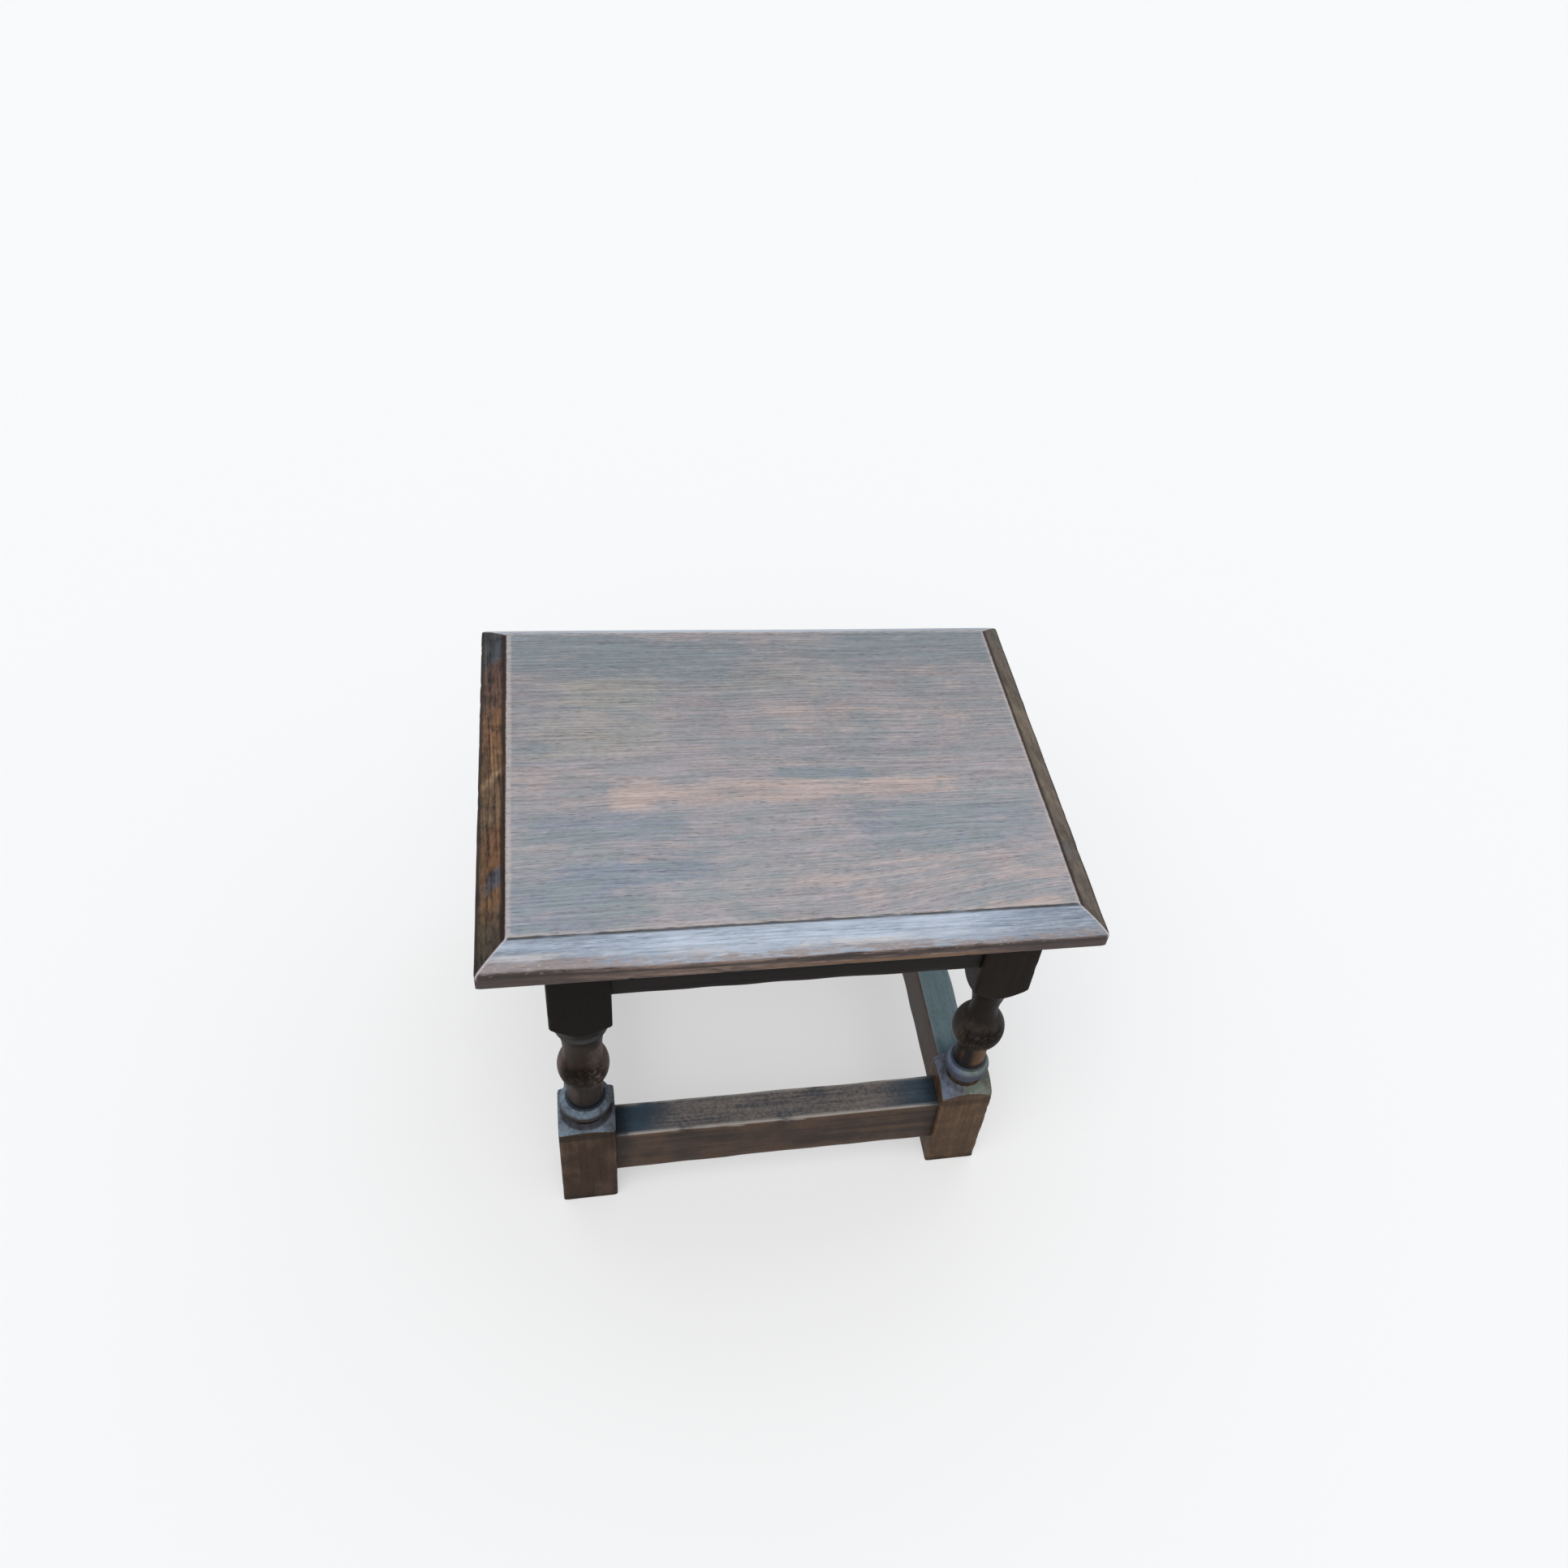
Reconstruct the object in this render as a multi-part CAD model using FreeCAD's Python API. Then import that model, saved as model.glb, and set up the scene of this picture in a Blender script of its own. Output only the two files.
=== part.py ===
import FreeCAD, Part
import math
import os
from collections import namedtuple

from FreeCAD import Vector

# Low oak stool: a moulded top of three edge-glued boards on a joined frame of four turned
# legs, four apron rails and four stretchers. The top is held by screws through glue blocks.
# Millimetres, +Z up, the front towards -Y, the origin on the floor under the top's middle.

# Whole stool
seat_length = 380.0
seat_depth = 306.0
seat_height = 292.0

# Top: field, quirk, bulged bevel and a lip with a rounded lower edge
top_thickness = 24.0
field_margin = 17.5
quirk_depth = 1.0
bevel_drop = 12.0
bevel_bulge = 0.8
lip_round = 5.0

# Boards of the top, joined by stopped tongues
front_board_width = 106.0
rear_board_width = 88.0
tongue_thickness = 6.0
tongue_reach = 6.0
tongue_rise = 5.0
tongue_stop = 40.0
tongue_side_clearance = 0.1
tongue_end_clearance = 0.5

# Legs: square blocks above and below a turned middle
leg_side = 38.0
leg_end_inset = 37.0
leg_front_inset = 8.0
leg_arris_round = 1.2
foot_chamfer = 1.0
lower_block_height = 89.0
upper_block_height = 58.0

# Turning, from the lower block up
lower_shoulder_drop = 4.0
lower_shoulder_rise = 2.0
lower_shoulder_bulge = 0.8
stem_diameter = 26.8
stem_height = 7.0
ring_diameter = 30.6
ring_height = 10.0
ring_top_diameter = 24.4
neck_base_diameter = 22.4
neck_waist_diameter = 21.0
ball_diameter = 34.0
ball_foot_diameter = 22.8
ball_crown_diameter = 23.6
ball_height_share = 0.488
upper_neck_diameter = 22.8
collar_seat_diameter = 25.0
collar_diameter = 27.0
collar_height = 3.5
flare_height = 21.5
flare_middle_shares = (0.29, 0.71)

# Aprons, between the upper blocks
apron_thickness = 20.0
apron_height = 30.0
apron_tenon_thickness = 8.0
apron_tenon_length = 17.0
apron_haunch = 6.0
apron_tenon_shoulder = 4.0

# Stretchers, between the lower blocks
stretcher_thickness = 26.0
stretcher_height = 45.0
stretcher_floor_gap = 30.0
stretcher_tenon_thickness = 9.0
stretcher_tenon_length = 14.0
stretcher_tenon_shoulder = 8.0

# Fits of the frame
rail_recess = 4.0
rail_arris_round = 1.5
mortise_side_clearance = 0.1
mortise_end_clearance = 1.0

# Glue blocks under the top, and the screws through them
block_length = 40.0
block_width = 18.0
block_height = 18.0
block_chamfer = 5.0
block_leg_gap = 20.0
screw_length = 29.0
screw_diameter = 4.0
screw_head_diameter = 8.0
screw_head_height = 2.4
screw_head_rim = 0.4
screw_tip_length = 4.0
screw_head_sink = 0.6
screw_slot_width = 1.1
screw_slot_depth = 1.1
screw_clearance = 0.05

# Modelling values: how far a cut runs past a face, and what counts as the same place
cut_overrun = 2.0
match_tolerance = 0.01
diagonal_share = math.sqrt(0.5)

Rail = namedtuple("Rail", "thickness low high tenon_thickness tenon_length tenon_low tenon_high")

underside = seat_height - top_thickness
leg_x = seat_length / 2 - leg_end_inset - leg_side / 2
leg_y = seat_depth / 2 - leg_front_inset - leg_side / 2
sides = (-1, 1)

apron = Rail(
    thickness=apron_thickness,
    low=underside - apron_height,
    high=underside,
    tenon_thickness=apron_tenon_thickness,
    tenon_length=apron_tenon_length,
    tenon_low=underside - apron_height + apron_tenon_shoulder,
    tenon_high=underside - apron_haunch,
)
stretcher = Rail(
    thickness=stretcher_thickness,
    low=stretcher_floor_gap,
    high=stretcher_floor_gap + stretcher_height,
    tenon_thickness=stretcher_tenon_thickness,
    tenon_length=stretcher_tenon_length,
    tenon_low=stretcher_floor_gap + stretcher_tenon_shoulder,
    tenon_high=stretcher_floor_gap + stretcher_height - stretcher_tenon_shoulder,
)


def bar(axis, start, end, across, width, low, high):
    """Box that runs along axis "x" or "y" from start to end, centred on across."""
    first = min(start, end)
    length = abs(end - start)
    if axis == "x":
        return Part.makeBox(length, width, high - low, Vector(first, across - width / 2, low))
    return Part.makeBox(width, length, high - low, Vector(across - width / 2, first, low))


def revolved(edges, centre):
    """Solid turned from the closed outline in the XZ plane, moved to stand on centre."""
    face = Part.Face(Part.Wire(Part.__sortEdges__(edges)))
    solid = face.revolve(Vector(0, 0, 0), Vector(0, 0, 1), 360)
    solid.translate(centre)
    return solid


def arc(first, middle, last):
    return Part.Arc(first, middle, last).toShape()


def polyline(points):
    return [Part.makeLine(start, end) for start, end in zip(points, points[1:])]


def moulded_face(span, place):
    """Outline of the top across one span: field, quirk, bevel and lip on both sides.

    place turns a distance from the middle and a height into a point."""
    half = span / 2
    field = half - field_margin
    bevel_top = seat_height - quirk_depth
    arris = seat_height - bevel_drop
    lip_low = underside + lip_round
    slope = math.hypot(field_margin, bevel_top - arris)
    bulge_out = bevel_bulge * (bevel_top - arris) / slope
    bulge_up = bevel_bulge * field_margin / slope
    bevel_middle = (half - field_margin / 2 + bulge_out, (bevel_top + arris) / 2 + bulge_up)
    round_middle = (
        half - lip_round + lip_round * diagonal_share,
        lip_low - lip_round * diagonal_share,
    )
    edges = [
        Part.makeLine(place(-field, seat_height), place(field, seat_height)),
        Part.makeLine(place(lip_round - half, underside), place(half - lip_round, underside)),
    ]
    for side in sides:
        crown = place(side * field, seat_height)
        quirk = place(side * field, bevel_top)
        brow = place(side * half, arris)
        lip = place(side * half, lip_low)
        heel = place(side * (half - lip_round), underside)
        edges.append(Part.makeLine(crown, quirk))
        edges.append(arc(quirk, place(side * bevel_middle[0], bevel_middle[1]), brow))
        edges.append(Part.makeLine(brow, lip))
        edges.append(arc(lip, place(side * round_middle[0], round_middle[1]), heel))
    return Part.Face(Part.Wire(Part.__sortEdges__(edges)))


def whole_top():
    """The top as one solid: where the moulded lengths cross, their bevels mitre."""
    long_face = moulded_face(seat_length, lambda u, z: Vector(u, -seat_depth / 2, z))
    deep_face = moulded_face(seat_depth, lambda u, z: Vector(-seat_length / 2, u, z))
    long_prism = long_face.extrude(Vector(0, seat_depth, 0))
    deep_prism = deep_face.extrude(Vector(seat_length, 0, 0))
    return long_prism.common(deep_prism)


def tongue(joint_y, toward, clearance, end_clearance):
    """Stopped tongue that stands out of the middle board at a joint."""
    reach = tongue_reach + end_clearance
    half_length = seat_length / 2 - tongue_stop + clearance
    low = underside + tongue_rise - clearance
    high = underside + tongue_rise + tongue_thickness + clearance
    middle_y = joint_y + toward * reach / 2
    return bar("x", -half_length, half_length, middle_y, reach, low, high)


def top_boards(screw_holes):
    """The three boards, by node name, with their tongues, grooves and screw holes."""
    top = whole_top()
    front_joint = front_board_width - seat_depth / 2
    rear_joint = seat_depth / 2 - rear_board_width
    spans = {
        "top_board_front": (-seat_depth / 2, front_joint),
        "top_board_middle": (front_joint, rear_joint),
        "top_board_rear": (rear_joint, seat_depth / 2),
    }
    boards = {}
    for name, (front, rear) in spans.items():
        slab = bar(
            "x",
            -seat_length / 2 - cut_overrun,
            seat_length / 2 + cut_overrun,
            (front + rear) / 2,
            rear - front,
            underside - cut_overrun,
            seat_height + cut_overrun,
        )
        boards[name] = top.common(slab)
    for name, joint_y, toward in (
        ("top_board_front", front_joint, -1),
        ("top_board_rear", rear_joint, 1),
    ):
        groove = tongue(joint_y, toward, tongue_side_clearance, tongue_end_clearance)
        boards[name] = boards[name].cut(groove)
        standing = tongue(joint_y, toward, 0, 0)
        boards["top_board_middle"] = boards["top_board_middle"].fuse(standing)
    for name in boards:
        boards[name] = boards[name].cut(screw_holes).removeSplitter()
    return boards


def turned_outline():
    """Edges of the half outline that a leg is turned to, from the floor to its top."""
    corner = leg_side * diagonal_share
    reach = corner + cut_overrun
    lower_corner_z = lower_block_height - lower_shoulder_drop
    stem_base_z = lower_block_height + lower_shoulder_rise
    ring_base_z = stem_base_z + stem_height
    ring_top_z = ring_base_z + ring_height
    upper_corner_z = underside - upper_block_height
    collar_top_z = upper_corner_z - flare_height
    collar_base_z = collar_top_z - collar_height
    turned_height = upper_corner_z - lower_block_height
    ball_z = lower_block_height + ball_height_share * turned_height
    ball = ball_diameter / 2
    ball_foot_z = ball_z - math.sqrt(ball ** 2 - (ball_foot_diameter / 2) ** 2)
    ball_crown_z = ball_z + math.sqrt(ball ** 2 - (ball_crown_diameter / 2) ** 2)
    stem = stem_diameter / 2
    flare_start = collar_seat_diameter / 2
    shoulder_middle = Vector(
        (corner + stem) / 2, 0, (lower_corner_z + stem_base_z) / 2 + lower_shoulder_bulge
    )
    flare_middle = Vector(
        flare_start + (corner - flare_start) * flare_middle_shares[0],
        0,
        collar_top_z + flare_height * flare_middle_shares[1],
    )

    stem_base = Vector(stem, 0, stem_base_z)
    ring_base = Vector(stem, 0, ring_base_z)
    ring_top = Vector(ring_top_diameter / 2, 0, ring_top_z)
    neck_base = Vector(neck_base_diameter / 2, 0, ring_top_z)
    ball_foot = Vector(ball_foot_diameter / 2, 0, ball_foot_z)
    ball_crown = Vector(ball_crown_diameter / 2, 0, ball_crown_z)
    collar_seat = Vector(flare_start, 0, collar_base_z)
    lower_corner = Vector(corner, 0, lower_corner_z)
    upper_corner = Vector(corner, 0, upper_corner_z)
    flare_base = Vector(flare_start, 0, collar_top_z)

    edges = polyline([
        Vector(0, 0, 0),
        Vector(reach, 0, 0),
        Vector(reach, 0, lower_corner_z),
        lower_corner,
    ])
    edges.append(arc(lower_corner, shoulder_middle, stem_base))
    edges.append(Part.makeLine(stem_base, ring_base))
    ring_widest = Vector(ring_diameter / 2, 0, (ring_base_z + ring_top_z) / 2)
    edges.append(arc(ring_base, ring_widest, ring_top))
    edges.append(Part.makeLine(ring_top, neck_base))
    waist = Vector(neck_waist_diameter / 2, 0, (ring_top_z + ball_foot_z) / 2)
    edges.append(arc(neck_base, waist, ball_foot))
    edges.append(arc(ball_foot, Vector(ball, 0, ball_z), ball_crown))
    upper_waist = Vector(upper_neck_diameter / 2, 0, (ball_crown_z + collar_base_z) / 2)
    edges.append(arc(ball_crown, upper_waist, collar_seat))
    edges += polyline([
        collar_seat,
        Vector(collar_diameter / 2, 0, collar_base_z),
        Vector(collar_diameter / 2, 0, collar_top_z),
        flare_base,
    ])
    edges.append(arc(flare_base, flare_middle, upper_corner))
    edges += polyline([
        upper_corner,
        Vector(reach, 0, upper_corner_z),
        Vector(reach, 0, underside),
        Vector(0, 0, underside),
        Vector(0, 0, 0),
    ])
    return edges


def along(edge, direction):
    """Whether an edge is straight and runs along a direction."""
    start, end = (vertex.Point for vertex in edge.Vertexes)
    return (end - start).cross(direction).Length < match_tolerance


def leg_blank(centre):
    """Square leg with eased corners and a chamfered foot."""
    corner = centre - Vector(leg_side / 2, leg_side / 2, 0)
    blank = Part.makeBox(leg_side, leg_side, underside, corner)
    upright = [edge for edge in blank.Edges if along(edge, Vector(0, 0, 1))]
    blank = blank.makeFillet(leg_arris_round, upright)
    foot = [edge for edge in blank.Edges if abs(edge.BoundBox.ZMax) < match_tolerance]
    return blank.makeChamfer(foot_chamfer, foot)


def rail_offset(rail):
    """How far a rail's middle lies outside the middle of its legs."""
    return leg_side / 2 - rail_recess - rail.thickness / 2


def mortises(side_x, side_y):
    """The four mortises of the leg at one corner, two rails from each inner face."""
    cuts = []
    for rail in (apron, stretcher):
        depth = rail.tenon_length + mortise_end_clearance
        width = rail.tenon_thickness + 2 * mortise_side_clearance
        low = rail.tenon_low - mortise_side_clearance
        high = rail.tenon_high + mortise_side_clearance
        for axis, along_side, along_leg, across_side, across_leg in (
            ("x", side_x, leg_x, side_y, leg_y),
            ("y", side_y, leg_y, side_x, leg_x),
        ):
            mouth = along_side * (along_leg - leg_side / 2 - cut_overrun)
            bottom = along_side * (along_leg - leg_side / 2 + depth)
            across = across_side * (across_leg + rail_offset(rail))
            cuts.append(bar(axis, mouth, bottom, across, width, low, high))
    return cuts


def leg(side_x, side_y):
    centre = Vector(side_x * leg_x, side_y * leg_y, 0)
    turned = leg_blank(centre).common(revolved(turned_outline(), centre))
    return turned.cut(mortises(side_x, side_y)).removeSplitter()


def rail_solid(rail, axis, side, rounded_heights):
    """Rail between two legs with a tenon at each end, its long arrises eased."""
    if axis == "x":
        half_span = leg_x - leg_side / 2
        across = side * (leg_y + rail_offset(rail))
        direction = Vector(1, 0, 0)
    else:
        half_span = leg_y - leg_side / 2
        across = side * (leg_x + rail_offset(rail))
        direction = Vector(0, 1, 0)
    body = bar(axis, -half_span, half_span, across, rail.thickness, rail.low, rail.high)
    arrises = [
        edge
        for edge in body.Edges
        if along(edge, direction)
        and any(abs(edge.CenterOfMass.z - z) < match_tolerance for z in rounded_heights)
    ]
    body = body.makeFillet(rail_arris_round, arrises)
    tenon_end = half_span + rail.tenon_length
    tenon = bar(
        axis, -tenon_end, tenon_end, across, rail.tenon_thickness, rail.tenon_low, rail.tenon_high
    )
    return body.fuse(tenon).removeSplitter()


def block_places():
    """Name, axis, side and middle of each glue block, along the apron that carries it."""
    leg_face = leg_x - leg_side / 2
    end_block = leg_face - block_leg_gap - block_length / 2
    places = []
    for side_y, depth_word in zip(sides, ("front", "rear")):
        for side_x, length_word in zip(sides, ("left", "right")):
            name = "glue_block_%s_%s" % (depth_word, length_word)
            places.append((name, "x", side_y, side_x * end_block))
    for side_x, length_word in zip(sides, ("left", "right")):
        places.append(("glue_block_" + length_word, "y", side_x, 0))
    return places


def block_centre(axis, side, middle):
    """Point on the floor below the middle of a glue block."""
    inside = rail_offset(apron) - apron.thickness / 2 - block_width / 2
    if axis == "x":
        return Vector(middle, side * (leg_y + inside), 0)
    return Vector(side * (leg_x + inside), middle, 0)


def glue_block(axis, side, middle, screw_holes):
    """Block glued to the apron and the top, chamfered along its free lower edge."""
    centre = block_centre(axis, side, middle)
    across = centre.y if axis == "x" else centre.x
    direction = Vector(1, 0, 0) if axis == "x" else Vector(0, 1, 0)
    start = middle - block_length / 2
    end = middle + block_length / 2
    low = underside - block_height
    body = bar(axis, start, end, across, block_width, low, underside)
    free_face = across - side * block_width / 2
    free_edges = []
    for edge in body.Edges:
        place = edge.CenterOfMass
        edge_across = place.y if axis == "x" else place.x
        is_low = abs(place.z - low) < match_tolerance
        if along(edge, direction) and is_low and abs(edge_across - free_face) < match_tolerance:
            free_edges.append(edge)
    return body.makeChamfer(block_chamfer, free_edges).cut(screw_holes)


def screw_body(centre, clearance, mouth_overrun):
    """Countersunk screw that points up, or the hole it fits when it has a clearance."""
    head_z = underside - block_height + screw_head_sink
    head = screw_head_diameter / 2 + clearance
    shank = screw_diameter / 2 + clearance
    rim_z = head_z + screw_head_rim
    neck_z = head_z + screw_head_height
    end_z = head_z + screw_length + clearance
    edges = polyline([
        Vector(0, 0, head_z - mouth_overrun),
        Vector(head, 0, head_z - mouth_overrun),
        Vector(head, 0, rim_z),
        Vector(shank, 0, neck_z),
        Vector(shank, 0, end_z - screw_tip_length),
        Vector(0, 0, end_z),
        Vector(0, 0, head_z - mouth_overrun),
    ])
    return revolved(edges, centre)


def screw(centre):
    """Screw with a straight slot across its head."""
    head_z = underside - block_height + screw_head_sink
    half_slot = screw_head_diameter / 2 + cut_overrun
    slot = bar(
        "x",
        centre.x - half_slot,
        centre.x + half_slot,
        centre.y,
        screw_slot_width,
        head_z - cut_overrun,
        head_z + screw_slot_depth,
    )
    return screw_body(centre, 0, 0).cut(slot)


def build():
    """All nodes of the stool by name."""
    places = block_places()
    centres = [block_centre(axis, side, middle) for _, axis, side, middle in places]
    screw_holes = [
        screw_body(centre, screw_clearance, screw_head_sink + cut_overrun) for centre in centres
    ]
    nodes = top_boards(screw_holes)
    for side_y, depth_word in zip(sides, ("front", "rear")):
        for side_x, length_word in zip(sides, ("left", "right")):
            nodes["leg_%s_%s" % (depth_word, length_word)] = leg(side_x, side_y)
    for axis, side, word in (("x", -1, "front"), ("x", 1, "rear"), ("y", -1, "left"), ("y", 1, "right")):
        nodes["apron_" + word] = rail_solid(apron, axis, side, (apron.low,))
        rounded = (stretcher.low, stretcher.high)
        nodes["stretcher_" + word] = rail_solid(stretcher, axis, side, rounded)
    for name, axis, side, middle in places:
        nodes[name] = glue_block(axis, side, middle, screw_holes)
    nodes["top_screws"] = Part.makeCompound([screw(centre) for centre in centres])
    return nodes


os.makedirs("parts", exist_ok=True)
for node, shape in build().items():
    shape.exportStep("parts/%s.step" % node)
    size = shape.BoundBox
    print(
        "%-22s solids %d valid %s volume %.1f x %.1f..%.1f y %.1f..%.1f z %.1f..%.1f"
        % (
            node,
            len(shape.Solids),
            shape.isValid(),
            shape.Volume,
            size.XMin,
            size.XMax,
            size.YMin,
            size.YMax,
            size.ZMin,
            size.ZMax,
        )
    )
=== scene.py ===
"""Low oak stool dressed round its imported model: a worn moulded top, turned legs and rails.

Fields and formulas are in millimetres, and meshes in metres. X runs along the grain of the
top, the front faces -Y and Z is up. Colours are sRGB codes until a node takes them.
"""

import logging
import math
from dataclasses import dataclass, field
from enum import Enum, IntEnum

import bpy
import numpy as np
from mathutils import Matrix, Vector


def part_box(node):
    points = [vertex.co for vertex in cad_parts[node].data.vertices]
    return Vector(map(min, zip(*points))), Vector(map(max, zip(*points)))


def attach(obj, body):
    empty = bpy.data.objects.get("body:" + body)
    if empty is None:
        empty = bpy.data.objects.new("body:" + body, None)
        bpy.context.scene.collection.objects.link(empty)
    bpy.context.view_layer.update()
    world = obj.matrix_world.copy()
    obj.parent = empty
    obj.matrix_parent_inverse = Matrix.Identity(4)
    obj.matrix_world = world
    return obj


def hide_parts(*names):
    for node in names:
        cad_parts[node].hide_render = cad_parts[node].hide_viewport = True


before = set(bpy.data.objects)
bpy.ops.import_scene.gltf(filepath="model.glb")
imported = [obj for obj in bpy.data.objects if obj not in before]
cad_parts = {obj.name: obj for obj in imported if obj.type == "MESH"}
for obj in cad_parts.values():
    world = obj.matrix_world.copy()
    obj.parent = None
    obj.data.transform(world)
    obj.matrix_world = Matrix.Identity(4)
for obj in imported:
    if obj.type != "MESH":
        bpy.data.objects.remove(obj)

MM = 0.001
BODY = "root"
LOG = logging.getLogger("low_stool")

Array = np.ndarray
Point = tuple[float, float, float]
Pair = tuple[float, float]


# Meshes


def bell(distance: Array, width: float | Array) -> Array:
    """1 where the distance is 0, falling as exp(-(distance / width) ** 2)."""
    return np.exp(-((distance / width) ** 2))


def ramp(value: Array, low: float, high: float) -> Array:
    """Smooth step from 0 at low to 1 at high: t * t * (3 - 2 * t)."""
    t = np.clip((value - low) / (high - low), 0, 1)
    return t * t * (3 - 2 * t)


def soft_min(first: Array, second: Array, blend: float) -> Array:
    """The lesser of two surfaces, with the crease between them rounded.

    With h = clip(0.5 + (second - first) / (2 * blend), 0, 1) it is
    second + (first - second) * h - blend * h * (1 - h).

    Args:
        first: values of one surface.
        second: values of the other.
        blend: width of the rounding.

    Returns:
        The rounded minimum.
    """
    h = np.clip(0.5 + (second - first) / (2 * blend), 0, 1)
    return second + (first - second) * h - blend * h * (1 - h)


def spaced(length: float, step: float, fine: float = 0.35, zone: float = 2.4) -> Array:
    """Shares from 0 to 1 of a length: even steps, with finer ones near both ends.

    Args:
        length: the whole length.
        step: the usual step.
        fine: the step in the end zones.
        zone: the length of each end zone.

    Returns:
        Rising shares from 0 to 1.
    """
    ends = np.arange(0, zone, fine)
    middle = np.linspace(zone, length - zone, max(2, round((length - 2 * zone) / step)))
    return np.concatenate([ends, middle, (length - ends)[::-1]]) / length


def grid_of(x: Array | float, y: Array | float, z: Array | float) -> Array:
    """Points from three coordinates, each spread over the shapes of the others."""
    return np.stack(np.broadcast_arrays(x, y, z), axis=-1)


def turned(centre: Array | Pair, radius: float, angles: Array) -> Array:
    """Points of a circle at the given angles: centre + radius * (cos, sin)."""
    return np.array(centre) + radius * np.column_stack([np.cos(angles), np.sin(angles)])


def arc_through(first: Pair, middle: Pair, last: Pair, count: int) -> Array:
    """Points on the circle through three points of a plane.

    The centre is where the two perpendicular bisectors meet, and the angle runs evenly.

    Args:
        first: start of the arc.
        middle: a point on it.
        last: its end.
        count: how many points.

    Returns:
        The points, one row each.
    """
    a, b, c = (np.array(p, float) for p in (first, middle, last))
    lines = 2 * np.array([b - a, c - a])
    centre = np.linalg.solve(lines, np.array([b @ b - a @ a, c @ c - a @ a]))
    angle = np.array([math.atan2(*(p - centre)[::-1]) for p in (a, b, c)])
    turn = (angle - angle[0]) % (2 * np.pi)
    sweep = turn[2] if turn[1] < turn[2] else turn[2] - 2 * np.pi
    return turned(centre, np.linalg.norm(a - centre), angle[0] + np.linspace(0, sweep, count))


def eased(start: Pair, sharp: Pair, end: Pair, count: int = 6) -> Array:
    """Points of a curve that leaves one line and meets another near their sharp corner.

    With t from 0 to 1 it is (1 - t) ** 2 * start + 2 * t * (1 - t) * sharp + t ** 2 * end.

    Args:
        start: where it leaves one line.
        sharp: the corner.
        end: where it meets the other.
        count: how many points.

    Returns:
        The points, one row each.
    """
    t = np.linspace(0, 1, count)[:, None]
    a, b, c = (np.array(p) for p in (start, sharp, end))
    return (1 - t) ** 2 * a + 2 * t * (1 - t) * b + t ** 2 * c


def reach_of(line: Array) -> Array:
    """Length of a line up to each of its points."""
    return np.concatenate([[0], np.cumsum(np.linalg.norm(np.diff(line, axis=0), axis=1))])


def picked(line: Array, places: Array) -> Array:
    """Points of a line at the given lengths along it."""
    return np.column_stack([np.interp(places, reach_of(line), column) for column in line.T])


def resampled(line: Array, step: float) -> Array:
    """A line's points again, an even step apart along its length, with both ends kept."""
    length = reach_of(line)[-1]
    return picked(line, np.linspace(0, length, max(2, round(length / step) + 1)))


@dataclass(frozen=True)
class Ripple:
    """Smooth seeded waves, for timber that has moved and hands that have worn it."""

    wavelength: Point
    depth: float
    waves: int = 20

    def at(self, points: Array, seed: int) -> Array:
        """Depth of the waves at each point.

        It is depth * (1 + s), where s is a sum of cosines with random directions and phases,
        over the root of their number.

        Args:
            points: places in millimetres, one row each.
            seed: start of the random draw.

        Returns:
            From 0 to twice the depth for each row.
        """
        draw = np.random.default_rng(seed)
        direction = draw.normal(size=(self.waves, 3))
        direction /= np.linalg.norm(direction, axis=1, keepdims=True)
        phase = draw.uniform(0, 2 * np.pi, self.waves)
        turns = 2 * np.pi * direction / np.array(self.wavelength)
        total = np.cos(points @ turns.T + phase).sum(axis=1)
        return self.depth * (1 + np.clip(total / math.sqrt(self.waves), -1, 1))


@dataclass(frozen=True)
class Dents:
    """Seeded knocks between two corners: round hollows that fall off as a bell curve."""

    low: Point
    high: Point
    count: int
    radius: Pair = (1.2, 3.0)
    depth: Pair = (0.15, 0.5)

    def at(self, points: Array, seed: int) -> Array:
        """Depth of the deepest dent at each point.

        Args:
            points: places in millimetres, one row each.
            seed: start of the random draw.

        Returns:
            The greatest depth * bell(distance, radius) for each row.
        """
        draw = np.random.default_rng(seed)
        centre = draw.uniform(self.low, self.high, (self.count, 3))
        radius = draw.uniform(*self.radius, self.count)
        depth = draw.uniform(*self.depth, self.count)
        distance = np.linalg.norm(points[:, None, :] - centre[None], axis=2)
        return (depth * bell(distance, radius)).max(axis=1)


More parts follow.
